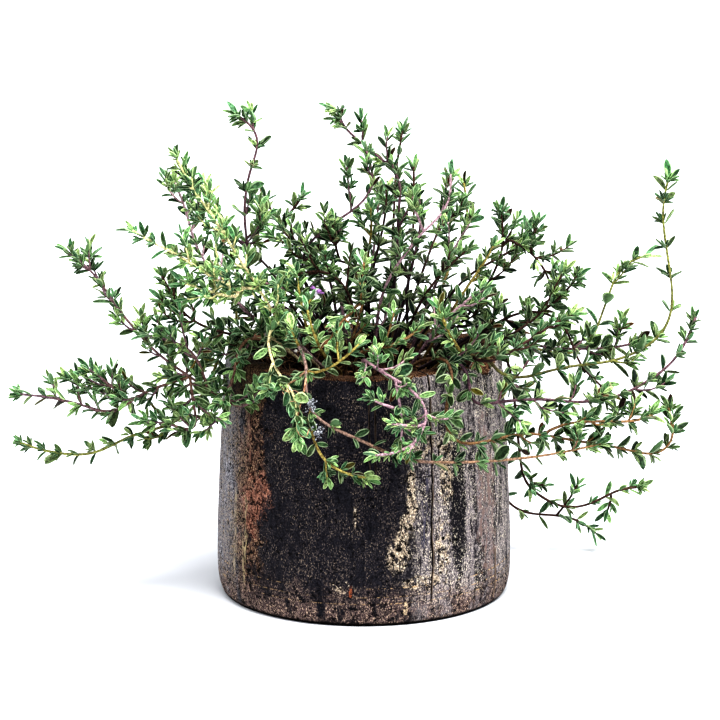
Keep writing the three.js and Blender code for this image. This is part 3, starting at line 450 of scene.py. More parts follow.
# The soil. Damp black potting mix a little below the rim: crumbs of peat and bark, dead roots and twigs, and
# a few white grains of perlite. It fills the pot, and each stem comes up out of it.
SOIL_LEVEL = 100
SOIL_MOUND = 3
SOIL_BUMP = 1.1
SOIL_RADIUS = 49.1
SOIL_BOTTOM = 14.4
SOIL_GRAINS = ((2.6, 1.5, 21), (1.1, 0.8, 22))  # size, height and seed
SOIL_SETTLED = 1.4
SOIL_RINGS, SOIL_COLUMNS = 90, 240
LOOSE_REACH = 47.5  # from the axis; nothing loose lies nearer to the wall
CRUMBS = 900
ROOTS = 130
ROOT_REACH = 44
ROOT_STEPS = 8
PERLITE = ((34, -36), (38, -33), (19, -44), (-44, -12), (-8, -43), (10, 28), (-30, 22), (27, 12), (-15, -8),
           (2, 40), (-46, -9), (-44, -17), (-47, -4))


def draw(a, b, c):
    """A draw from 0 to 1 that depends only on its three numbers."""
    s = np.sin(np.asarray(a) * 12.9898 + np.asarray(b) * 78.233 + np.asarray(c) * 37.719 + 4.2) * 43758.5453
    return s - np.floor(s)


def soil_height(x, y):
    bump = np.sin(0.31 * x + 1) * np.cos(0.27 * y) + 0.6 * np.sin(0.53 * x - 0.47 * y + 2)
    return SOIL_LEVEL + SOIL_MOUND * (1 - (x * x + y * y) / SOIL_RADIUS**2) + SOIL_BUMP * bump


def soil_mesh():
    radii = np.concatenate([[SOIL_RADIUS] * 2, np.linspace(SOIL_RADIUS, 0.6, SOIL_RINGS)])
    turn = np.linspace(0, 2 * math.pi, SOIL_COLUMNS, endpoint=False)
    r, a = np.meshgrid(radii, turn, indexing="ij")
    x, y = r * np.cos(a), r * np.sin(a)
    rough = sum(high * value_noise(x / size, y / size, seed) for size, high, seed in SOIL_GRAINS)
    z = soil_height(x, y) + (rough - SOIL_SETTLED)
    z[0], z[1] = SOIL_BOTTOM, SOIL_LEVEL - 4
    points = np.stack([x, y, z], axis=-1).reshape(-1, 3)
    n = SOIL_COLUMNS
    faces = ring_quads(len(radii), n).tolist()
    faces += [list(range(n))[::-1], list(range(len(points) - n, len(points)))]
    return points, faces


def lumps(centres, sizes, seed):
    """Irregular grains: boxes with their corners pulled in and out, each turned its own way."""
    corner = np.array([[x, y, z] for x in (-1, 1) for y in (-1, 1) for z in (-1, 1)], float)
    sides = [(0, 1, 3, 2), (4, 6, 7, 5), (0, 4, 5, 1), (2, 3, 7, 6), (0, 2, 6, 4), (1, 5, 7, 3)]
    points, faces = [], []
    for k, (centre, size) in enumerate(zip(centres, sizes)):
        pull = 0.45 + 0.7 * draw(k + seed, np.arange(24), 3).reshape(8, 3)
        turn = draw(k + seed, np.arange(9), 7).reshape(3, 3) - 0.5
        points.append(centre + (corner * pull * size / 2) @ np.linalg.qr(turn)[0])
        faces += [tuple(8 * k + i for i in side) for side in sides]
    return np.vstack(points), faces


def tube(line, radii, sides=8, squareness=0.0, turn=0.0):
    """A round or squarish tube along a line, with closed ends: points and faces."""
    along = np.gradient(line, axis=0)
    along /= np.linalg.norm(along, axis=1, keepdims=True)
    across = np.zeros_like(line)
    side = np.array([1.0, 0, 0]) if abs(along[0][0]) < 0.9 else np.array([0, 1.0, 0])
    for k, t in enumerate(along):
        side = side - t * side.dot(t)
        side /= np.linalg.norm(side)
        across[k] = side
    other = np.cross(along, across)
    a = 2 * math.pi * np.arange(sides) / sides + turn
    swell = 1 / (np.abs(np.cos(a)) ** 4 + np.abs(np.sin(a)) ** 4) ** 0.25
    shape = (1 - squareness) + squareness * swell
    r = np.asarray(radii)[:, None, None]
    x, y = (np.cos(a) * shape)[None, :, None], (np.sin(a) * shape)[None, :, None]
    points = (line[:, None] + r * (across[:, None] * x + other[:, None] * y)).reshape(-1, 3)
    faces = ring_quads(len(line), sides).tolist()
    faces += [list(range(sides))[::-1], list(range(len(points) - sides, len(points)))]
    return points, faces


def joined(parts):
    """Several (points, faces) as one."""
    points, faces, start = [], [], 0
    for p, f in parts:
        points.append(p)
        faces += [[i + start for i in face] for face in f]
        start += len(p)
    return np.vstack(points), faces


def on_soil(k, seed, reach=LOOSE_REACH):
    radius, turn = reach * np.sqrt(draw(k, seed, 1)), 2 * math.pi * draw(k, seed, 2)
    x, y = radius * np.cos(turn), radius * np.sin(turn)
    return np.stack([x, y, soil_height(x, y)], axis=-1)


def dead_roots():
    parts = []
    for k in range(ROOTS):
        start = on_soil(k, 40, ROOT_REACH)
        length, heading = 5 + 12 * draw(k, 41, 0), 2 * math.pi * draw(k, 42, 0)
        s = np.linspace(0, 1, ROOT_STEPS + 1)
        bend = heading + 2.6 * (draw(k, 43, 0) - 0.5) * s
        step = length / ROOT_STEPS
        x = start[0] + np.cumsum(np.cos(bend)) * step
        y = start[1] + np.cumsum(np.sin(bend)) * step
        inside = np.minimum(1, LOOSE_REACH / np.hypot(x, y))
        x, y = x * inside, y * inside
        lift = (0.4 + 2.6 * draw(k, 44, 0)) * np.sin(math.pi * s)
        line = np.stack([x, y, soil_height(x, y) + 0.3 + lift], axis=-1)
        thick = 0.16 + 0.3 * draw(k, 45, 0) ** 3
        parts.append(tube(line, thick * (1 - 0.6 * s), 5))
    return joined(parts)


def potting_mix():
    """Peat and bark, damp: matt, near black, with brown bits. The scale of a noise, here and below, is its
    grains to the millimetre times MM."""
    material, tree = new_material("potting_mix_damp")
    place = add(tree, "TexCoord", give="Object")
    coarse = add(tree, "TexNoise", {"Vector": place, "Scale": 0.5 * MM, "Detail": 4, "Roughness": 0.7})
    fine = add(tree, "TexNoise", {"Vector": place, "Scale": 1.4 * MM, "Detail": 2})
    colour = worn(tree, "#040303", ("#100a08", (coarse, 0.36, 0.5)), ("#2e1d14", (coarse, 0.5, 0.62)),
                  ("#5d412c", (coarse, 0.62, 0.72), (fine, 0.4, 0.6)))
    return finished(material, colour, 0.85, 0.06, 0.8, 0.6, fine)


def two_toned(name, dark, light, roughness, size_mm):
    """A natural matt stuff of two mixed tones, with grains of size_mm."""
    material, tree = new_material(name)
    place = add(tree, "TexCoord", give="Object")
    noise = add(tree, "TexNoise", {"Vector": place, "Scale": MM / size_mm, "Detail": 3})
    return finished(material, worn(tree, dark, (light, (noise, 0.38, 0.62))), roughness, 0.1, 0.5, 0.3, noise)


soil = mesh_object("soil_potting_mix", *soil_mesh(), potting_mix())
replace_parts(soil, "soil")

crumb_sizes = 0.8 + 2.6 * draw(np.arange(CRUMBS), 31, 0) ** 2.5
crumb_places = np.array([on_soil(k, 30) for k in range(CRUMBS)]) + np.array([0, 0, 0.2])
bark_crumbs = two_toned("bark_crumbs", "#0e0907", "#3d2b20", 0.9, 1.2)
crumbs = mesh_object("soil_crumbs", *lumps(crumb_places, crumb_sizes, 5), bark_crumbs, smooth=False)

roots = mesh_object("soil_dead_roots", *dead_roots(), two_toned("dead_roots", "#33241a", "#8a6c50", 0.8, 3))

spots = np.array([(x, y, float(soil_height(x, y)) + 0.8) for x, y in PERLITE])
perlite_sizes = 2.2 + 1.2 * draw(np.arange(len(spots)), 50, 0)
perlite_grains = two_toned("perlite_grains", "#c9c4bb", "#f2efe8", 0.85, 0.8)
perlite = mesh_object("soil_perlite", *lumps(spots, perlite_sizes, 9), perlite_grains, smooth=False)


# The thyme. Each sprig is a square, wiry stem with side shoots, rooted in the soil: purple-brown where it is
# old, green or straw where it is young. Its leaves sit in pairs, each crosswise to the last, with a tuft of
# young leaves in the crook of each.

# A route is what is seen from the front: across, up, and how far behind the pot's axis. The first stem of a
# sprig leads from its foot in the soil, and the others branch off it.
SPRIGS = {
    "left_spreading": ((-26, -14), [
        [(-53, 11, -30), (-56, 0, -33), (-59, -15, -34), (-62, -19, -34), (-67, -14, -34), (-77, -7, -34),
         (-89, 1, -34), (-98, 10, -35), (-110, 25, -36), (-121, 41, -37), (-130, 47, -38)],
        [(-77, -7, -34), (-88, -11, -32), (-97, -14, -30), (-103, -18, -29), (-107, -23, -28),
         (-114, -24, -27), (-122, -20, -26), (-131, -18, -25), (-140, -16, -24), (-152, -15, -22)],
        [(-102, -17, -29), (-113, -10, -33), (-121, -4, -35)],
        [(-103, -17, -29), (-113, -13, -22), (-128, -12, -20), (-131, -8, -19)],
        [(-76, -8, -34), (-75, -21, -38), (-72, -32, -39), (-76, -33, -40), (-83, -28, -41), (-97, -27, -42)],
        [(-60, -19, -34), (-55, -22, -40), (-49, -19, -46), (-44, -10, -50)],
        [(-70, -12, -34), (-72, -2, -38), (-74, 3, -40), (-78, 7, -41), (-89, 9, -42), (-96, 11, -42)],
    ]),
    "left_trailing": ((-34, 8), [
        [(-56, 8, -2), (-66, -6, -6), (-77, -24, -9), (-93, -31, -11), (-103, -33, -12), (-113, -39, -12),
         (-120, -42, -12), (-135, -41, -11), (-145, -39, -10), (-152, -36, -10)],
    ]),
    "left_olive": ((-30, -4), [
        [(-52, 10, -18), (-62, 12, -22), (-70, 14, -25), (-77, 18, -26), (-82, 22, -27), (-84, 29, -28),
         (-89, 37, -29)],
        [(-79, 20, -27), (-86, 22, -30), (-90, 27, -31)],
    ]),
    "left_bright": ((-20, -22), [
        [(-36, 14, -36), (-41, 23, -42), (-46, 31, -46), (-54, 43, -50), (-62, 56, -53), (-70, 68, -55),
         (-76, 76, -56), (-80, 83, -56), (-83, 90, -56)],
        [(-46, 31, -46), (-50, 32, -50), (-56, 31, -54), (-67, 36, -60), (-75, 42, -62), (-81, 46, -63),
         (-90, 50, -64), (-102, 57, -65)],
        [(-54, 31, -53), (-57, 27, -55), (-63, 28, -58), (-72, 32, -60), (-80, 34, -62)],
    ]),
    "left_tall": ((-22, 0), [
        [(-44, 20, -6), (-51, 36, -8), (-51, 51, -8), (-53, 62, -7), (-52, 74, -6), (-51, 82, -6),
         (-47, 91, -5), (-45, 98, -5), (-48, 103, -5), (-56, 108, -6)],
        [(-51, 50, -8), (-46, 53, -9), (-45, 61, -10)],
        [(-51, 50, -8), (-57, 53, -8), (-61, 57, -8)],
    ]),
    "left_slender": ((-28, -8), [
        [(-50, 20, -14), (-62, 32, -17), (-70, 43, -18), (-75, 52, -19), (-78, 65, -20), (-80, 72, -20),
         (-84, 79, -21)],
    ]),
    "crown_leaning": ((-12, -6), [
        [(-24, 28, -12), (-28, 42, -16), (-26, 50, -19), (-21, 55, -21), (-14, 60, -22), (-6, 65, -22),
         (1, 70, -22), (5, 77, -22), (4, 84, -22), (1, 92, -22)],
    ]),
    "crown_tall": ((8, -2), [
        [(13, 30, -8), (15, 50, -10), (15, 68, -10), (17, 75, -10), (17, 80, -10), (7, 89, -11), (1, 94, -12),
         (-7, 100, -13), (-11, 105, -14), (-15, 111, -14)],
        [(15, 60, -10), (20, 66, -12), (22, 72, -12)],
    ]),
    "crown_right": ((4, -20), [
        [(8, 30, -30), (14, 41, -33), (19, 48, -34), (26, 57, -35), (36, 65, -36), (39, 74, -36),
         (38, 82, -36)],
        [(26, 57, -35), (24, 63, -37), (22, 67, -38)],
    ]),
    "arch_high": ((2, -8), [
        [(2, 30, -16), (0, 40, -18), (-6, 43, -19), (-12, 44, -20), (-21, 46, -21), (-29, 44, -22),
         (-36, 39, -23)],
        [(-11, 44, -20), (-12, 48, -21), (-14, 55, -23), (-14, 60, -24)],
        [(-24, 46, -21), (-30, 50, -20), (-36, 52, -20), (-41, 54, -20)],
    ]),
    "arch_low": ((-4, -14), [
        [(-5, 26, -24), (-9, 34, -26), (-14, 39, -27), (-22, 40, -29), (-30, 38, -31), (-36, 33, -32)],
    ]),
    "far_high": ((8, 22), [
        [(12, 40, 36), (13, 60, 48), (14, 80, 56), (14, 86, 58), (16, 93, 60), (17, 101, 62)],
        [(14, 84, 57), (10, 88, 55), (7, 88, 54)],
    ]),
    "far_middle": ((18, 18), [[(20, 40, 32), (22, 60, 44), (22, 70, 48), (22, 85, 50)]]),
    "far_right": ((26, 20), [[(36, 36, 40), (42, 52, 54), (46, 60, 60), (46, 66, 62), (44, 78, 62)]]),
    "right_arching": ((30, 6), [
        [(48, 22, 4), (56, 36, 2), (60, 44, 1), (62, 52, 0), (61, 60, 0), (60, 66, 0)],
        [(62, 51, 0), (66, 53, -1), (71, 50, -2), (75, 46, -3), (79, 42, -4), (82, 35, -4), (83, 30, -4)],
        [(74, 47, -3), (74, 52, -4), (76, 60, -4)],
    ]),
    "right_cut_back": ((34, -8), [
        [(56, 6, -16), (66, 12, -18), (76, 18, -19), (80, 22, -20), (84, 33, -20), (88, 39, -20)],
        [(81, 24, -20), (85, 26, -22), (91, 32, -24), (94, 37, -25)],
    ]),
    "right_drooping": ((36, 0), [
        [(58, 16, -2), (70, 22, -4), (80, 21, -6), (85, 20, -8), (90, 13, -9), (92, 6, -10), (94, -1, -10),
         (97, -6, -11), (104, -10, -12), (108, -15, -12)],
    ]),
    "far_tall": ((34, 16), [
        [(62, 8, 34), (80, 4, 42), (92, 2, 48), (99, 6, 50), (103, 14, 52), (105, 22, 53), (108, 28, 54),
         (110, 36, 55), (113, 42, 56), (118, 44, 57), (124, 46, 58)],
    ]),
    "right_tall": ((30, -16), [
        [(50, 2, -32), (58, -6, -32), (66, -9, -30), (80, -5, -27), (95, -2, -24), (109, -1, -21),
         (117, 2, -20), (127, 7, -19), (134, 15, -18), (136, 23, -18), (136, 30, -18), (134, 43, -17),
         (132, 57, -16), (131, 67, -16), (134, 80, -16)],
    ]),
    "right_level": ((36, 8), [
        [(56, 14, 10), (66, 11, 8), (71, 8, 7), (80, 5, 6), (92, 5, 5), (108, 5, 4), (122, 8, 3)],
    ]),
    "right_long": ((24, -28), [
        [(42, 2, -46), (47, -8, -50), (46, -16, -53), (47, -22, -54), (54, -19, -52), (63, -18, -50),
         (80, -17, -46), (92, -19, -43), (102, -18, -41), (113, -16, -39), (122, -11, -37), (129, -7, -36),
         (138, 1, -34), (142, 8, -33), (146, 19, -32)],
    ]),
    "right_low": ((16, -34), [
        [(36, 2, -52), (40, -6, -58), (37, -16, -61), (35, -28, -63), (39, -37, -62), (54, -36, -56),
         (69, -32, -50), (80, -33, -47), (95, -36, -44), (111, -38, -41), (124, -42, -39), (131, -42, -38),
         (136, -38, -38), (137, -30, -38), (134, -21, -38)],
        [(79, -33, -47), (86, -28, -49), (102, -27, -48), (113, -27, -46), (120, -28, -45), (127, -24, -44)],
    ]),
    "front_long": ((-16, -32), [
        [(-31, 9, -52), (-28, 5, -56), (-24, -2, -60), (-26, -10, -64), (-25, -23, -67), (-21, -26, -68),
         (-14, -30, -69), (0, -36, -71), (15, -43, -71), (23, -45, -70), (36, -45, -67), (48, -45, -63),
         (62, -44, -58), (72, -43, -54), (86, -41, -50), (95, -39, -48), (104, -37, -46)],
        [(-25, -25, -67), (-22, -37, -69), (-19, -44, -70), (-14, -48, -71), (-6, -51, -72), (1, -52, -72)],
        [(-25, -6, -62), (-18, -6, -64), (-13, -3, -64), (-7, 2, -63), (-2, 7, -62)],
        [(-30, 9, -53), (-32, 14, -54)],
    ]),
    "front_upright": ((-8, -28), [
        [(-5, 11, -44), (-2, 17, -46), (0, 28, -47), (-1, 36, -48), (0, 43, -48)],
        [(0, 24, -47), (-5, 23, -50), (-10, 17, -54), (-15, 9, -57)],
    ]),
    "front_orange": ((-4, -34), [
        [(-3, 4, -48), (2, 5, -52), (8, 5, -54), (14, 7, -55), (21, 9, -55), (25, 15, -55)],
    ]),
    "front_draping": ((0, -40), [
        [(-1, 2, -56), (3, -3, -62), (8, -5, -66), (14, -9, -70), (22, -13, -73), (25, -17, -75),
         (29, -22, -76), (30, -25, -76), (26, -31, -77), (22, -37, -78), (19, -41, -78)],
        [(14, -9, -70), (16, -20, -74), (17, -30, -76), (16, -40, -77)],
        [(27, -29, -77), (18, -30, -78), (12, -28, -78)],
        [(16, -21, -74), (11, -21, -76), (6, -20, -77), (3, -17, -77)],
        [(22, -37, -78), (14, -42, -77), (5, -42, -77)],
    ]),
    "front_pale": ((-24, -26), [
        [(-43, 12, -44), (-43, 9, -48), (-41, 1, -54), (-38, -7, -60), (-33, -11, -64), (-30, -14, -67),
         (-29, -20, -70), (-30, -29, -71), (-29, -35, -71)],
        [(-43, 10, -47), (-40, 14, -47), (-37, 17, -47)],
        [(-41, -1, -56), (-42, -8, -60), (-42, -12, -61)],
        [(-34, -10, -63), (-33, -16, -66), (-32, -20, -67)],
    ]),
    "front_left": ((-14, -24), [
        [(-26, 15, -44), (-27, 23, -46), (-29, 32, -47), (-30, 38, -47)],
        [(-27, 22, -46), (-24, 26, -46), (-23, 27, -46)],
    ]),
    "front_middle": ((-10, -34), [[(-19, 4, -54), (-21, 8, -56), (-24, 16, -57), (-25, 22, -57)]]),
    "right_twig": ((30, -30), [[(44, 1, -46), (41, 6, -49), (37, 11, -51), (35, 18, -52), (33, 23, -52)]]),
    "right_woody": ((28, -22), [
        [(45, 4, -40), (51, -3, -43), (59, 0, -42), (67, 5, -39), (76, 11, -36), (85, 17, -34),
         (92, 20, -33)],
    ]),
    "trailing_low": ((24, 30), [
        [(38, 17, 50), (46, 6, 58), (54, -30, 62), (60, -58, 60), (66, -66, 56), (72, -68, 55), (83, -68, 54),
         (92, -69, 54), (98, -72, 54), (102, -76, 54)],
        [(85, -68, 54), (92, -60, 52), (94, -55, 52)],
    ]),
    "trailing_high": ((34, 26), [
        [(52, 14, 38), (62, 4, 44), (66, -15, 47), (68, -35, 48), (69, -45, 48), (71, -56, 48), (77, -59, 49),
         (82, -63, 50), (91, -66, 50), (98, -64, 50), (104, -62, 50), (109, -58, 50), (112, -56, 50),
         (122, -56, 50)],
        [(109, -58, 50), (109, -65, 51), (107, -67, 51)],
    ]),
    "crown_a": ((-2, 2), [[(0, 30, 0), (2, 48, 2), (4, 60, 2), (3, 67, 2)]]),
    "crown_b": ((12, 8), [[(20, 36, 8), (24, 54, 10), (26, 66, 11), (24, 72, 12)]]),
    "crown_c": ((20, 0), [[(30, 30, 0), (38, 46, -2), (44, 56, -4), (48, 63, -5)]]),
    "crown_d": ((0, 12), [[(4, 40, 18), (8, 56, 22), (10, 66, 24), (10, 75, 25)]]),
    "crown_e": ((-10, 8), [[(-14, 32, 14), (-17, 42, 18), (-20, 48, 20), (-20, 53, 21)]]),
    "crown_f": ((14, -14), [[(24, 24, -24), (32, 36, -28), (40, 44, -30), (46, 49, -32)]]),
    "crown_g": ((26, -8), [[(40, 24, -14), (48, 36, -16), (54, 44, -17), (57, 50, -18)]]),
    "crown_h": ((-14, -14), [[(-24, 24, -28), (-32, 30, -34), (-38, 33, -37), (-44, 34, -38)]]),
    "crown_i": ((20, -24), [[(32, 14, -40), (40, 22, -44), (47, 28, -46), (53, 31, -47)]]),
}

FAR_SPRIGS = 10
FAR_FIRST_ANGLE = 0.3
FAR_LAST_ANGLE = 2.95
FAR_FOOT_RADIUS = 27
STEM_FOOT_RADIUS = 1.15
BRANCH_RADIUS = 0.8
STEM_TIP_RADIUS = 0.42
FOOT_DEPTH = 5
SAMPLE = 3  # between the points of a stem while it is bent
STEM_SPACE = 1.9
WALL_SPACE = 2.2
BEND_PASSES = 40
BEND_OUT = 0.5  # of the way clear of the wall, in one pass
BEND_SMOOTH = 0.12  # of the way to the middle of a point's neighbours, in one pass


def seen_from_front(route):
    """Where the points of a route are, seen from the eye at across and up, and behind the axis by depth."""
    across, up, depth = np.array(route, float).T
    eye = np.array([0, -eye_back, AIM_HEIGHT + eye_up])
    on_plane = np.stack([across, up * math.sin(EYE_PITCH), AIM_HEIGHT + up * math.cos(EYE_PITCH)], axis=-1)
    ray = on_plane - eye
    return eye + ray * ((depth - eye[1]) / ray[:, 1])[:, None]


def far_sprig(i):
    """The far side, by a rule: sprigs fan out behind the pot, every second one drooping below the rim."""
    angle = FAR_FIRST_ANGLE + (FAR_LAST_ANGLE - FAR_FIRST_ANGLE) * i / (FAR_SPRIGS - 1)
    drooping = i % 2 == 1
    behind = math.sin(angle)
    sway = 0.3 * (draw(i, 1, 0) - 0.5)

    def at(radius, turn, height):
        return [radius * math.cos(angle + turn), radius * math.sin(angle + turn), height]

    foot = at(FAR_FOOT_RADIUS * (1.25 if drooping else 0.8), 0, 0)
    if drooping:
        reach = 78 + 18 * behind
        stem = [
            at(46, 0.03, POT_HEIGHT + 12),
            at(60, 0.3 * sway, POT_HEIGHT + 11),
            at(72, 0.6 * sway, POT_HEIGHT + 2 - 8 * behind),
            at(reach, sway, POT_HEIGHT - 12 - 30 * behind),
            at(reach + 12, sway, POT_HEIGHT - 10 - 42 * behind),
        ]
    else:
        reach = 62 + 12 * draw(i, 2, 0)
        stem = [
            at(36, 0.03, POT_HEIGHT + 16),
            at(48, 0.4 * sway, POT_HEIGHT + 28 + 8 * behind),
            at(reach - 6, sway, POT_HEIGHT + 34 + 14 * behind),
            at(reach + 4, sway, POT_HEIGHT + 38 + 22 * behind),
        ]
    side = np.array(stem[3 if drooping else 2])
    shoot = np.array([side, side + (7, 3, 5), side + (11, 4, 12)])
    return foot[:2], [np.array(stem), shoot]


def curve_at(knots, t):
    """Points of a smooth (centripetal Catmull-Rom) curve through the knots, at t from 0 to 1."""
    ends = np.vstack([2 * knots[0] - knots[1], knots, 2 * knots[-1] - knots[-2]])
    place = np.clip(t, 0, 1) * (len(knots) - 1)
    i = np.minimum(place.astype(int), len(knots) - 2)
    w = (place - i)[:, None]
    p0, p1, p2, p3 = ends[i], ends[i + 1], ends[i + 2], ends[i + 3]
    gap = [np.linalg.norm(b - a, axis=1)[:, None] ** 0.5 for a, b in ((p0, p1), (p1, p2), (p2, p3))]
    m1 = gap[1] * ((p1 - p0) / gap[0] - (p2 - p0) / (gap[0] + gap[1]) + (p2 - p1) / gap[1])
    m2 = gap[1] * ((p2 - p1) / gap[1] - (p3 - p1) / (gap[1] + gap[2]) + (p3 - p2) / gap[2])
    return p1 + m1 * w + (3 * (p2 - p1) - 2 * m1 - m2) * w**2 + (2 * (p1 - p2) + m1 + m2) * w**3


def run_along(points):
    """The lengths of a line's steps, and how far along the line each of its points lies."""
    steps = np.linalg.norm(np.diff(points, axis=0), axis=1)
    return steps, np.concatenate([[0], np.cumsum(steps)])


def sampled(knots, spacing=SAMPLE):
    """Points every spacing along the curve."""
    t = np.linspace(0, 1, 201)
    _, run = run_along(curve_at(knots, t))
    count = max(2, int(run[-1] / spacing + 0.5))
    return curve_at(knots, np.interp(np.linspace(0, run[-1], count + 1), run, t))


def sprig_stems(foot, routes):
    """A sprig's stems as points with radii. A branch starts at the nearest point of the stems before it."""
    stems = []
    for i, route in enumerate(routes):
        if i == 0:
            low = np.array([*foot, SOIL_LEVEL - FOOT_DEPTH])
            high = np.array([*foot, SOIL_LEVEL + SOIL_MOUND + 2])
            points, joined_to = np.vstack([low, sampled(np.vstack([high, route]))]), None
        else:
            far = [np.sum((s["points"] - route[0]) ** 2, axis=1) for s in stems]
            j = min(range(i), key=lambda j: far[j].min())
            joined_to = (j, int(far[j].argmin()))
            points = sampled(np.vstack([stems[j]["points"][joined_to[1]], route[1:]]))
        share = (np.arange(len(points)) / (len(points) - 1)) ** 0.8
        thick = STEM_FOOT_RADIUS if i == 0 else BRANCH_RADIUS
        radii = thick + (STEM_TIP_RADIUS - thick) * share
        stems.append({"points": points, "joined_to": joined_to, "radii": radii})
    return stems


def wall_push(p, radius):
    """How far points must move to keep clear of the pot's wall: up over the rim, or out past the side."""
    out = np.maximum(np.hypot(p[:, 0], p[:, 1]), 1e-6)
    space = WALL_SPACE + radius
    side = pot_outer_radius(p[:, 2]) + space - out
    inner = out - (POT_RIM_RADIUS - POT_WALL - space)
    up = POT_HEIGHT + space - p[:, 2]
    inside = (side > 0) & (inner > 0) & (up > 0)
    rise = inside & (up < side)
    push = p * (side / out)[:, None] * (inside & ~rise)[:, None]
    push[:, 2] = np.where(rise, up, 0)
    return push


def bend_clear(plant):
    """Bends the stems of different sprigs clear of each other and of the pot, a little at a time."""
    stems = [(s, stem) for s, sprig in enumerate(plant) for stem in sprig]
    lengths = [len(stem["points"]) for _, stem in stems]
    owner = np.repeat([s for s, _ in stems], lengths)
    radius = np.concatenate([stem["radii"] for _, stem in stems])
    feet = [np.arange(n) < (0 if stem["joined_to"] else 2) for n, (_, stem) in zip(lengths, stems)]
    foot = np.concatenate(feet)
    want = radius[:, None] + radius[None, :] + STEM_SPACE
    apart_owner = owner[:, None] != owner[None, :]
    for _ in range(BEND_PASSES):
        p = np.concatenate([stem["points"] for _, stem in stems])
        i, j = np.nonzero(apart_owner & (np.abs(p[:, None, 0] - p[None, :, 0]) < want))
        away = p[i] - p[j]
        d = np.linalg.norm(away, axis=1)
        close = (d < want[i, j]) & (d > 0)
        i, j, away, d = i[close], j[close], away[close], d[close]
        push = np.zeros_like(p)
        np.add.at(push, i, away * ((want[i, j] - d) / d / 2)[:, None])
        push[foot, 2] = 0
        p += push
        p += BEND_OUT * np.where(foot[:, None], 0, wall_push(p, radius))
        for (s, stem), points in zip(stems, np.split(p, np.cumsum(lengths)[:-1])):
            stem["points"] = points
            if stem["joined_to"]:
                j, k = stem["joined_to"]
                points[0] = plant[s][j]["points"][k]
            else:
                points[0, :2] = points[1, :2]
            middle = (points[1:-2] + points[3:]) / 2
            points[2:-1] += BEND_SMOOTH * (middle - points[2:-1])


names = ["sprig_" + name for name in SPRIGS] + ["sprig_behind_%d" % (i + 1) for i in range(FAR_SPRIGS)]
plans = [(foot, [seen_from_front(stem) for stem in stems]) for foot, stems in SPRIGS.values()]
plans += [far_sprig(i) for i in range(FAR_SPRIGS)]
plant = [sprig_stems(foot, routes) for foot, routes in plans]
bend_clear(plant)


# A leaf of thyme is a small, blunt oval on a short stalk, furrowed along its midrib, with pale margins turned
# a little up. Full leaves are finely shaped; the young leaves of a tuft are too small to need as many points.
LEAF_LENGTH = 7.4
LEAF_THICKNESS = 0.3
LEAF_OUTLINE = ((0, 0.12), (0.1, 0.3), (0.28, 0.82), (0.5, 1), (0.72, 0.9), (0.9, 0.55), (1, 0.08))


def leaf_pattern(along, across):
    """The points of a leaf as (along, across, top or not), the top ones first, and its faces."""
    rows, columns = len(along), len(across)
    s, u = np.meshgrid(along, across, indexing="ij")
    top = np.stack([s, u, np.ones_like(s)], axis=-1)
    under = top[1:-1, 1:-1].reshape(-1, 3) * (1, 1, 0)
    upper = np.arange(rows * columns).reshape(rows, columns)
    lower = upper.copy()
    lower[1:-1, 1:-1] = rows * columns + np.arange(len(under)).reshape(rows - 2, columns - 2)
    faces = [grid_quads(upper)[:, ::-1], grid_quads(lower)]
    return np.vstack([top.reshape(-1, 3), under]), np.vstack(faces)


FULL_LEAF = leaf_pattern([s for s, _ in LEAF_OUTLINE], (-1, -0.55, 0, 0.55, 1))
YOUNG_LEAF = leaf_pattern((0, 0.2, 0.5, 0.82, 1), (-1, 0, 1))


def leaves_mesh(leaves, pattern, seed):
    """Leaves as one mesh. Each is (base, along, normal, length, width share, colour)."""
    base, along, normal, length, wide, colour = (np.array(part) for part in zip(*leaves))
    (s, u, top), faces = pattern[0].T, pattern[1]
    k, length = np.arange(len(leaves)), length[:, None]
    half = np.interp(s, *np.array(LEAF_OUTLINE).T) * wide[:, None] * length / 2
    cup = 0.2 + 0.5 * draw(k, seed, 72)[:, None]
    curl = 0.34 * length * (draw(k, seed, 73)[:, None] - 0.6)
    twist = 0.9 * (draw(k, seed, 74)[:, None] - 0.5)
    across = u * half
    lift = cup * np.abs(u) ** 1.6 * half + curl * s**2 + twist * across * s
    lift = lift - LEAF_THICKNESS * (1 - top) * (1 + 0.5 * (u == 0)) - 0.1 * half * (u == 0) * top
    side = np.cross(normal, along)
    points = base[:, None] + along[:, None] * (length * s)[..., None]
    points = points + side[:, None] * across[..., None] + normal[:, None] * lift[..., None]
    faces = faces[None] + len(s) * k[:, None, None]
    blade = np.broadcast_to(pattern[0][:, [1, 0, 2]], points.shape)
    colours = np.repeat(colour, len(s), axis=0)
    return points.reshape(-1, 3), faces.reshape(-1, 4), blade.reshape(-1, 3), colours


def unit(v):
    return v / max(math.sqrt(v[0] * v[0] + v[1] * v[1] + v[2] * v[2]), 1e-9)


def chance(a, b, c):
    return float(draw(a, b, c))


def mixed(a, b, share):
    return a + (b - a) * share


def colours_of(text):
    return [np.array(linear(colour)[:3]) for colour in text.split()]


LEAF_DEEP = colours_of("#101f16 #16271a #1e2f1c #16251d #26341c")
LEAF_FRESH = colours_of("#416743 #5c7e50 #799860 #99b174 #517353")
LEAF_SPENT = colours_of("#464119 #4e311b #2a1b14")
SPENT_SHARE = 0.05
LOW, HIGH = (MM * np.array(corner) for corner in cad_box)
MARGIN = 2.2  # how far a leaf's tip stays inside the plant's outer box
TO_LIGHT = np.array([0.1, -0.5, 0.7])  # the plant has stood with its front to a window
# In the heart of the crown the leaves and bark are painted darker: painted shade of the dense crown.
HEART, HEART_REACH = np.array([-10, 18, POT_HEIGHT + 8]), np.array([90, 62, 66])


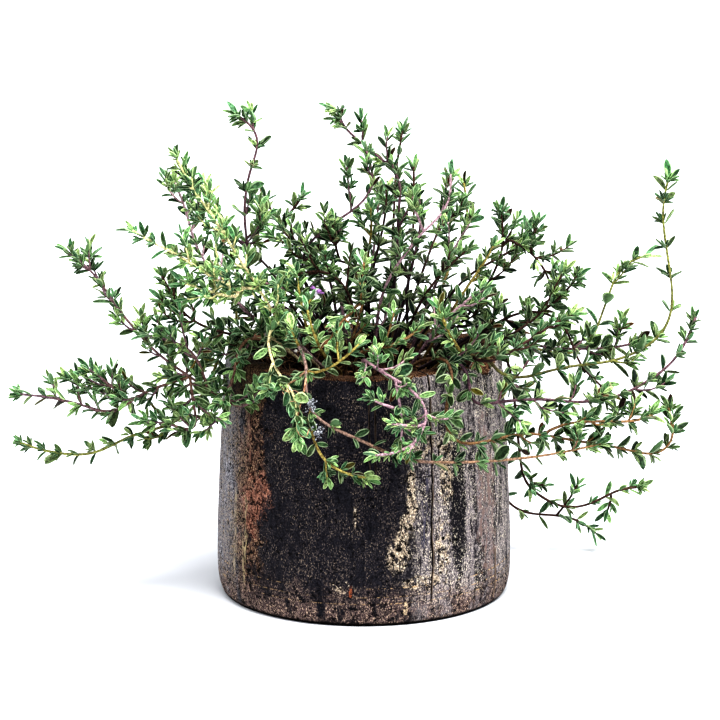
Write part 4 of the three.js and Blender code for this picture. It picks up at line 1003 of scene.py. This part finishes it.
def leaf_colour(age, tone, fate):
    """From fresh at the tips to deep green below. A few leaves are going olive or brown."""
    if fate > 1 - SPENT_SHARE:
        return LEAF_SPENT[int((1 - fate) / SPENT_SHARE * 2.999)]
    deep, fresh = (colours[int(tone * 4.999)] for colours in (LEAF_DEEP, LEAF_FRESH))
    return mixed(fresh, deep, min(1, max(0, age))) * (0.3 + 1.25 * (7 * tone % 1))


def crown_painted_shade(points):
    """Painted shade: from dark in the heart of the crown to the full colour outside it."""
    return 0.32 + 0.68 * smooth_step(0.45, 1.05, np.linalg.norm((points - HEART) / HEART_REACH, axis=-1))


def leaf_at(centre, ahead, out, lean, length, wide, radius, colour):
    """One leaf that leaves the stem at an angle, its upper side turned to the tip and to the light, its
    colour darkened by the painted shade of the crown's heart.
    """
    along = unit(ahead * math.cos(lean) + out * math.sin(lean))
    base = centre + out * radius * 0.4
    room = np.where(along > 0, HIGH - MARGIN - base, base - LOW - MARGIN) / np.maximum(np.abs(along), 1e-6)
    length = min(length, max(1.5, float(room.min())))
    face = 0.6 * ahead + TO_LIGHT
    normal = unit(face - along * face.dot(along))
    # Painted shade: the leaf is darker the nearer it lies to the heart of the crown.
    return base, along, normal, length, wide, colour * crown_painted_shade(base)


def ways_out(ahead):
    """The directions square to a stem, by their angle round it."""
    side = unit(np.cross(ahead, (0, 0, 1.0) if abs(ahead[2]) < 0.95 else (1.0, 0, 0)))
    other = np.cross(ahead, side)
    return lambda angle: side * math.cos(angle) + other * math.sin(angle)


# The colours of old and young bark: most of it purple-brown, some straw, orange or nearly white.
BARK = {
    "dark": "#1e1412 #4b352d",
    "purple": "#372830 #75595f",
    "pink": "#84666f #b2959c",
    "mauve": "#6f543d #6a545e",
    "straw": "#644c2d #a39656",
    "orange": "#4f3a2b #8f6f4c",
    "rose": "#84706f #8a6c4c",
    "pale": "#c1ab8e #d6d49a",
    "olive": "#4b432f #8b8e50",
}
# How each sprig grows: its bark, or that of its first stem and of the others, how fresh its leaves are, the
# gap between its nodes, and how many shoots it has. Where its leaves aren't of the usual length or width, the
# two follow, the width as a share of the length: roundest on the old sprigs at the front, narrow at the left.
HABITS = {
    "left_spreading": ("mauve", 0.25, 7.5, 3, 1.05, 0.3), "left_trailing": ("olive", 0.2, 8.5, 2, 1, 0.3),
    "left_olive": ("dark", 0.1, 7, 2.2), "left_bright": ("pale", 0.6, 5.2, 1.3, 1, 0.3),
    "left_tall": ("purple", 0.25, 11, 0.8, 1.05, 0.36), "left_slender": ("pink", 0.1, 7, 1, 1, 0.3),
    "crown_leaning": ("purple", 0.05, 9, 0.8), "crown_tall": ("purple", 0.1, 8, 0.7),
    "crown_right": ("pink", 0.15, 9, 0.6), "arch_high": ("dark", 0.05, 8, 1.8),
    "arch_low": ("dark", 0.05, 8, 1.8), "far_high": ("dark", 0.1, 12, 0.1),
    "far_middle": ("dark", 0.15, 12, 0.1), "far_right": ("straw", 0.4, 12, 0.1),
    "right_arching": ("dark", 0.05, 8, 1.8), "right_cut_back": ("dark", 0.05, 10, 1.2),
    "right_drooping": ("dark", 0.05, 8, 1.6), "far_tall": ("olive", 0.3, 12, 0.3, 1.1, 0.35),
    "right_tall": ("olive", 0.2, 12.5, 0.5, 1.15, 0.35), "right_level": ("purple", 0.05, 7.5, 1.6, 1.1, 0.38),
    "right_long": ("purple", 0.05, 7.5, 1.5, 1.1, 0.36), "right_low": ("orange", 0.05, 7.5, 1.2, 1.1, 0.36),
    "front_long": ("rose straw", 0.1, 9.5, 0.5, 0.95, 0.42), "front_draping": ("pink", 0.3, 7.5, 0.9),
    "front_upright": ("orange", 0.2, 9, 0.5, 0.9, 0.34), "front_orange": ("orange", 0.2, 13, 0.2, 0.9, 0.34),
    "front_pale": ("pale", 0.2, 9.5, 0.3, 1.05, 0.46), "front_left": ("straw", 0.3, 10, 0.2, 0.85, 0.34),
    "front_middle": ("straw", 0.3, 10, 0.2, 0.85, 0.34), "right_twig": ("straw", 0.2, 8, 0.8),
    "right_woody": ("dark", 0.1, 9, 0.7), "trailing_low": ("dark", 0.3, 10, 0.3),
    "trailing_high": ("dark", 0.3, 10, 0.3),
}
USUAL_WIDTH = 0.33
OTHER_BARK = ("dark", "purple", "dark", "straw", "purple", "pink")
OTHER_GAP = 9
OTHER_BUSHINESS = 0.62
STEM_SHARE, STEM_LEAST = 0.35, 0.36  # a radius is this share of the plain model's, and this many mm more
CROWN_REACH = 88  # from the pot's axis; within it the plant is at its densest
BARE_FOOT = 25  # without leaves, up from a sprig's foot in the soil
FRONT = -40  # in front of this the sprigs hang in the open and have few side shoots
CLOSE_TO = 118  # from the pot's axis; further out a sprig has few side shoots
TIP_GAP = 1.8  # between the youngest pairs of leaves
SHOOT_GAP = 6  # between the oldest pairs on a side shoot
SHOOT_FOOT_RADIUS, SHOOT_TIP_RADIUS = 0.5, 0.3
SHOOT_SHARES = (0.26, 0.18, 0.06)  # of the crooks: in the crown, close to it and further out
YOUNG_LENGTH = 4.5  # up to this length a leaf of a side shoot is a young one
BROAD_LEAF = 0.58
STEM_SIDES = 6


def leaf_pairs(stem, i, seed, gap, bare):
    """Nodes down a stem from its tip, close together there and wider apart below, each turned crosswise."""
    points = stem["points"]
    steps, run = run_along(points)
    from_tip, pair, turn = 0.4, 0, math.pi * chance(seed, i, 1)
    while from_tip < run[-1] - bare:
        place = run[-1] - from_tip
        k = min(int(np.searchsorted(run, place, side="right")) - 1, len(steps) - 1)
        centre = mixed(points[k], points[k + 1], (place - run[k]) / steps[k])
        ahead = unit(points[k + 1] - points[k])
        radius = STEM_LEAST + STEM_SHARE * float(np.interp(place, run, stem["radii"]))
        yield pair, centre, ahead, radius, turn + pair * math.pi / 2
        from_tip += min(TIP_GAP + 1.9 * pair, gap) * (0.82 + 0.36 * chance(seed, i + pair, 11))
        pair += 1


def grow_tuft(grown, centre, ahead, out, age, fresh, size, key):
    """The young leaves in the crook of a leaf, two or three pairs close together."""
    way = unit(ahead + out * (0.5 + 0.5 * chance(key, 1, 20)))
    spread = ways_out(way)
    turn = math.pi * chance(key, 2, 20)
    reach = 0.8 + 1.8 * chance(key, 3, 20)
    tone, pairs = chance(key, 4, 20), 2 + (chance(key, 5, 20) > 0.6)
    for pair in range(pairs):
        share = (pair + 1) / pairs
        colour = leaf_colour(age * (0.95 - 0.6 * share) - fresh, tone, 0.6)
        for which in (0, 1):
            angle = turn + pair * math.pi / 2 + which * math.pi
            length = size * (0.68 - 0.16 * share) * (0.75 + 0.5 * chance(key + which, pair, 21))
            lean = 0.8 - 0.4 * share + 0.25 * chance(key + pair, which, 22)
            place = centre + way * reach * share
            leaf = leaf_at(place, way, spread(angle), lean, length, USUAL_WIDTH, SHOOT_TIP_RADIUS, colour)
            grown["young"].append(leaf)


def grow_shoot(grown, centre, ahead, out, reach, age, fresh, bark, shape, key):
    """A side shoot: a thin stem that bends up to the light, with crosswise pairs of leaves."""
    way = unit(ahead * 0.7 + out * (0.5 + 0.6 * chance(key, 1, 30)))
    points, steps = [centre], max(3, round(reach / 2.5))
    for k in range(steps):
        stray = np.array([chance(key, k, 31 + n) - 0.5 for n in range(3)])
        way = unit(way + np.array([0, 0, 0.9 / steps]) + stray * 0.35)
        points.append(np.clip(points[-1] + way * reach / steps, LOW + 2 * MARGIN, HIGH - 2 * MARGIN))
    points = np.array(points)
    radii = np.linspace(SHOOT_FOOT_RADIUS, SHOOT_TIP_RADIUS, len(points))
    grown["stems"].append((points, radii, bark, 0.35))
    size, width = shape
    spread = ways_out(way)
    turn, run, pair = math.pi * chance(key, 2, 30), reach, 0
    while run > 1.5:
        at = run / reach * steps
        k = min(int(at), steps - 1)
        place = mixed(points[k], points[k + 1], at - k)
        forward = unit(points[k + 1] - points[k] + way * 0.01)
        youth = math.exp(-pair / 2.0)
        for which in (0, 1):
            angle = turn + pair * math.pi / 2 + which * math.pi + 0.5 * (chance(key, pair, 33 + which) - 0.5)
            length = size * (0.92 - 0.2 * youth) * (0.78 + 0.4 * chance(key + which, pair, 35))
            tone, fate = chance(key, pair, 36 + which), chance(key, pair, 38 + which)
            colour = leaf_colour(age - 0.5 * youth - fresh, tone, fate)
            lean = 0.95 - 0.55 * youth + 0.3 * (chance(key + which, pair, 37) - 0.5)
            wide = width * (0.85 + 0.35 * chance(key + pair, which, 40))
            kind = "full" if length > YOUNG_LENGTH else "young"
            leaf = leaf_at(place, forward, spread(angle), lean, length, wide, SHOOT_TIP_RADIUS, colour)
            grown[kind].append(leaf)
            if pair > 1 and chance(key + which, pair, 41) > 0.45:
                grow_tuft(grown, place, forward, spread(angle), age, fresh, size, key + 7 * pair + which)
        run -= min(TIP_GAP + 1.5 * pair, SHOOT_GAP)
        pair += 1


def grow_stem(grown, stem, i, seed, bark, fresh, gap, bushiness, shape):
    """A stem of the plain model with all its leaves, the tufts in their crooks, and its side shoots."""
    size, width = shape
    radii = STEM_LEAST + STEM_SHARE * stem["radii"]
    grown["stems"].append((stem["points"], radii, bark, 1.0 if i == 0 else 0.7))
    for pair, centre, ahead, radius, turn in leaf_pairs(stem, i, seed, gap, BARE_FOOT if i == 0 else 2):
        spread = ways_out(ahead)
        youth = math.exp(-pair / 2.2)
        age = 0.95 - 0.75 * youth + 0.25 * (chance(seed + pair, i, 60) - 0.5)
        out_by = math.hypot(centre[0], centre[1])
        in_crown = out_by < CROWN_REACH and (centre[2] > POT_HEIGHT - 4 or centre[1] > FRONT)
        shoots = bushiness * SHOOT_SHARES[0 if in_crown else 1 if out_by < CLOSE_TO else 2]
        for which in (0, 1):
            key = 1000 * seed + 100 * i + 2 * pair + which
            angle = turn + which * math.pi + 0.5 * (chance(seed + pair, i, 2 + which) - 0.5)
            out = spread(angle)
            lean = 1.05 - 0.65 * youth + 0.3 * (chance(seed, i + pair, 5 + which) - 0.5)
            length = size * (1.02 - 0.16 * youth) * (0.8 + 0.4 * chance(seed + pair, i, 8 + which))
            colour = leaf_colour(age - fresh, chance(key, 1, 61), chance(key, 2, 61))
            broad = chance(key, 3, 61) > 0.9 and pair > 3
            wide = BROAD_LEAF if broad else width * (0.85 + 0.35 * chance(key, 4, 61))
            length *= 1.15 if broad else 1
            grown["full"].append(leaf_at(centre, ahead, out, lean, length, wide, radius, colour))
            reach = 5 + (15 if in_crown else 10) * chance(key, 6, 61) ** 1.3
            if chance(key, 5, 61) < shoots and pair > 2:
                grow_shoot(grown, centre, ahead, out, reach, age, fresh, bark, shape, key)
            elif pair > 0 and chance(key, 7, 61) < 0.35 + 0.45 * min(bushiness, 1):
                grow_tuft(grown, centre, ahead, out, age, fresh, size, key)


def stems_mesh(stems):
    """Square stems, a little knobbly, as one mesh with the bark's colour at each point, darkened by the
    painted shade of the crown's heart.
    """
    parts, colours = [], []
    for n, (points, radii, (old, young), age) in enumerate(stems):
        fine = sampled(points, SAMPLE / 2)
        at = np.linspace(0, 1, len(fine))
        wide = np.interp(at, np.linspace(0, 1, len(points)), radii)
        wide = wide * (1 + 0.22 * (value_noise(at * len(fine) * 0.7, at * 0, n) - 0.4))
        parts.append(tube(fine, wide, STEM_SIDES, 0.6, n))
        weathered = 0.3 * (value_noise(at * len(fine) * 0.3, at * 0, n + 7) - 0.5)
        share = np.clip(1 - age * (1 - at) ** 0.8 + weathered, 0, 1)
        # Painted shade: the bark is darker the nearer it lies to the heart of the crown.
        bark = mixed(old, young, share[:, None]) * crown_painted_shade(fine)[:, None]
        colours.append(np.repeat(bark, STEM_SIDES, axis=0))
    points, faces = joined(parts)
    return points, faces, np.vstack(colours)


def thyme_leaf():
    """Thyme leaves: leathery, hardly glossy, with dark veins, pale midrib and margins, and a greyer back."""
    material, tree = new_material("thyme_leaf")
    own = add(tree, "Attribute", give="Vector", attribute_name="own_colour")
    shaded = add(tree, "VectorMath", {0: own, "Scale": 0.4}, operation="SCALE")
    lit = add(tree, "VectorMath", {0: own, "Scale": 1.4}, operation="SCALE")
    strong = add(tree, "VectorMath", {0: own, "Scale": 1.7}, operation="SCALE")
    waxy = add(tree, "VectorMath", {0: strong, 1: (0.24, 0.27, 0.18)})
    place = add(tree, "TexCoord", give="Object")
    mottle = add(tree, "TexNoise", {"Vector": place, "Scale": 0.9 * MM, "Detail": 3, "Roughness": 0.6})
    broken = add(tree, "TexNoise", {"Vector": place, "Scale": 0.35 * MM, "Detail": 2})
    blade = add(tree, "Attribute", give="Vector", attribute_name="blade")
    part = add(tree, "SeparateXYZ", {0: blade}, give=None).outputs
    edge = add(tree, "Math", {0: part["X"]}, operation="ABSOLUTE")
    margin = add(tree, "Math", {0: broken, 1: 0.5, 2: edge}, operation="MULTIPLY_ADD")
    # Side veins leave the midrib at a slant, about 0.8 mm apart.
    slant = add(tree, "Math", {0: edge, 1: -0.35, 2: part["Y"]}, operation="MULTIPLY_ADD")
    veins = add(tree, "Math", {0: slant, 1: 50}, operation="MULTIPLY")
    veins = add(tree, "Math", {0: veins}, operation="SINE")
    colour = worn(tree, shaded, (lit, (mottle, 0.4, 0.6)), (shaded, (veins, 0.4, 2.2)),
                  (strong, (edge, 0.14, 0.03), (broken, 0.42, 0.56)), (waxy, (margin, 0.91, 1.06)),
                  ("#5f7b56", (part["Z"], 1.0, -0.5)))
    return finished(material, colour, 0.42, 0.07, 0.4, 0.15, mottle)


def thyme_stem():
    """Thyme stems: wiry and satin, with fine, flaking bark in darker and lighter flecks of under 1 mm."""
    material, tree = new_material("thyme_stem")
    own = add(tree, "Attribute", give="Vector", attribute_name="own_colour")
    place = add(tree, "TexCoord", give="Object")
    bark = add(tree, "TexNoise", {"Vector": place, "Scale": 1.3 * MM, "Detail": 3})
    dark = add(tree, "VectorMath", {0: own, "Scale": 0.5}, operation="SCALE")
    light = add(tree, "VectorMath", {0: own, "Scale": 1.4}, operation="SCALE")
    return finished(material, worn(tree, dark, (light, (bark, 0.38, 0.62))), 0.5, 0.08, 0.4, 0.2, bark)


stem_material, leaf_material = thyme_stem(), thyme_leaf()


def sprig_piece(name, grown, seed):
    stem_points, stem_faces, stem_colours = stems_mesh(grown["stems"])
    full = leaves_mesh(grown["full"], FULL_LEAF, seed)
    young = leaves_mesh(grown["young"], YOUNG_LEAF, seed + 500)
    start = len(stem_points)
    leaf_faces = (full[1] + start).tolist() + (young[1] + start + len(full[0])).tolist()
    points = np.vstack([stem_points, full[0], young[0]])
    piece = mesh_object(name, points, stem_faces + leaf_faces, stem_material, leaf_material)
    piece.data.polygons.foreach_set("material_index", [0] * len(stem_faces) + [1] * len(leaf_faces))
    blade = np.vstack([stem_points * 0, full[2], young[2]])
    mark_points(piece, blade=blade, own_colour=np.vstack([stem_colours, full[3], young[3]]))
    return piece


for seed, (name, stems) in enumerate(zip(names, plant)):
    key = name.removeprefix("sprig_")
    by_rule = (OTHER_BARK[seed % len(OTHER_BARK)], 0.1 * chance(seed, 80, 0), OTHER_GAP, OTHER_BUSHINESS)
    bark_names, fresh, gap, bushiness, *leaf = HABITS.get(key, by_rule)
    barks = [colours_of(BARK[kind]) for kind in bark_names.split()]
    length_share, width = leaf or (1, USUAL_WIDTH)
    shape = (length_share * LEAF_LENGTH, width)
    grown = {"stems": [], "full": [], "young": []}
    for i, stem in enumerate(stems):
        grow_stem(grown, stem, i, seed, barks[min(i, len(barks) - 1)], fresh, gap, bushiness, shape)
    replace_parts(sprig_piece("thyme_" + key, grown, seed), name)


# The one flower, on a short stalk at the left of the crown: a lilac tube that opens into an upper lip of two
# lobes and a lower one of three, paler in its throat, in the green cup that the petals fall from.
PETAL_LENGTH = 3.6
PETAL_WIDTH = 0.62  # of its length
FLOWER_TUBE = 3.2
TUBE_WIDTHS = ((0, 0.5), (0.4, 0.6), (0.9, 1.15), (1, 1.3))  # share of its length, radius
CUP_WIDTHS = ((0, 0.45), (0.35, 0.85), (1, 0.95))
PETAL_TURNS = (0.4, 1.57, 2.74, 4.3, 5.1)


def opening_tube(start, end, widths, rings, sides):
    """A tube from one point to another whose radius changes along it."""
    share = np.linspace(0, 1, rings)
    return tube(mixed(start, end, share[:, None]), np.interp(share, *np.array(widths).T), sides)


def lilac_petal():
    """Petals: thin, matt and mottled, with a pale throat."""
    material, tree = new_material("lilac_petal")
    blade = add(tree, "Attribute", give="Vector", attribute_name="blade")
    along = add(tree, "SeparateXYZ", {0: blade}, give="Y")
    place = add(tree, "TexCoord", give="Object")
    mottle = add(tree, "TexNoise", {"Vector": place, "Scale": 1.1 * MM, "Detail": 2})
    colour = worn(tree, "#5c3563", ("#a274ae", (mottle, 0.36, 0.64)),
                  ("#f6ecf8", (along, 0.6, 0.25), (mottle, 0.36, 0.5)))
    return finished(material, colour, 0.6, 0.15)


stalk = plant[names.index("sprig_front_left")][1]["points"]
flower_way = unit(stalk[-1] - stalk[-2])
petal_spread = ways_out(flower_way)
throat = stalk[-1] + flower_way * 0.45
mouth = throat + flower_way * FLOWER_TUBE
petals = []
for turn in PETAL_TURNS:
    petal_way = unit(petal_spread(turn) + flower_way * 0.45)
    facing = unit(flower_way - petal_way * flower_way.dot(petal_way))
    root = mouth - flower_way * 0.5
    petals.append((root, petal_way, facing, PETAL_LENGTH, PETAL_WIDTH, (0, 0, 0)))
petal_points, petal_faces, petal_blades, _ = leaves_mesh(petals, FULL_LEAF, 900)
funnel = opening_tube(throat, mouth, TUBE_WIDTHS, 12, 16)
flower_points, flower_faces = joined([(petal_points, petal_faces.tolist()), funnel])
flower = mesh_object("thyme_flower", flower_points, flower_faces, lilac_petal())
mark_points(flower, blade=np.vstack([petal_blades, funnel[0] * 0]))
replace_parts(flower, "bloom")

cup_mesh = opening_tube(stalk[-1] - flower_way * 0.3, throat + flower_way * 1.3, CUP_WIDTHS, 7, 10)
cup = mesh_object("flower_cup", *cup_mesh, two_toned("flower_cup_ribbed", "#425226", "#86636c", 0.55, 1.1))


# Dry ends in front of the pot, left on the plant: a curled, tan tendril, fine root hairs, and a bit of grey
# fluff that has caught on the leaves beside them.
DRY_CURLS = (
    ((-25.5, -8, -66), (-26.5, -14, -69), (-28.6, -22, -70), (-29.5, -28, -71), (-28.4, -33, -71.5),
     (-25.6, -33.6, -71.5), (-24.2, -30.5, -71.2)),
    ((-38, -9, -63), (-36.5, -12, -66), (-33.5, -14, -68), (-30, -13.5, -69), (-28, -16.5, -70)),
    ((-36, -14, -66), (-33, -18, -68), (-30, -18.5, -70), (-28.8, -21, -70.5)),
)
DRY_RADIUS = 0.42
HAIR_SHARE = 0.35  # a root hair's radius, as a share of the tendril's
FLUFF_PLACES = ((-23.4, -20, -70), (-20.8, -32, -71))
FLUFF_REACH = (2.9, 1.6, 3.4)
FLUFF_BITS = 110

curls = []
for which, curl in enumerate(DRY_CURLS):
    line = sampled(seen_from_front(curl), 0.8)
    curls.append(tube(line, np.linspace(1, 0.5, len(line)) * DRY_RADIUS * (HAIR_SHARE if which else 1), 6))
dry = mesh_object("dry_tendrils", *joined(curls), two_toned("dry_stem", "#754d38", "#dcb190", 0.7, 1.6))

bits = np.arange(FLUFF_BITS)
fluff_middles = seen_from_front(FLUFF_PLACES)[bits % len(FLUFF_PLACES)]
fluff_spread = np.stack([draw(bits, 91 + n, 0) + draw(bits, 94 + n, 0) - 1 for n in range(3)], axis=-1)
fluff_mesh = lumps(fluff_middles + fluff_spread * FLUFF_REACH, 0.35 + 0.7 * draw(bits, 98, 0) ** 2, 60)
fluff = mesh_object("grey_fluff", *fluff_mesh, two_toned("grey_fluff", "#424349", "#caccd2", 0.95, 0.6))


# The floor and the light. A white paper sweep far out round the plant, in bright, soft daylight from all
# round that burns the white out, and a more directed light from above, in front and the right. The view's
# look is a contrasty print's, as the photograph's is.
FLOOR_REACH = 8000
SKY_STRENGTH = 1.15
WINDOW_STRENGTH = 4.3
WINDOW_SPREAD = math.radians(28)
WINDOW_WAY = Vector((-0.25, 0.32, -1))  # the way its light goes

floor_material, floor_tree = new_material("white_paper")
pulp = add(floor_tree, "TexNoise", {"Scale": 0.03 * MM})
paper_white = worn(floor_tree, "#d6d7da", ("#dadbde", (pulp, 0.4, 0.6)))
finished(floor_material, paper_white, 0.9, 0.5)
floor_corners = np.array([(-1, -1, 0), (1, -1, 0), (1, 1, 0), (-1, 1, 0)]) * FLOOR_REACH
floor = mesh_object("white_floor", floor_corners, [(0, 1, 2, 3)], floor_material)

world = bpy.data.worlds.new("studio")
world.use_nodes = True
world.node_tree.nodes["Background"].inputs["Color"].default_value = linear("#f6f8fc")
world.node_tree.nodes["Background"].inputs["Strength"].default_value = SKY_STRENGTH
bpy.context.scene.world = world
bpy.context.scene.view_settings.view_transform = "Standard"
bpy.context.scene.view_settings.look = "High Contrast"

window_light = bpy.data.lights.new("window_light", "SUN")
window_light.energy = WINDOW_STRENGTH
window_light.angle = WINDOW_SPREAD
window = bpy.data.objects.new("window_light", window_light)
window.rotation_euler = WINDOW_WAY.to_track_quat("-Z", "Y").to_euler()
bpy.context.scene.collection.objects.link(window)
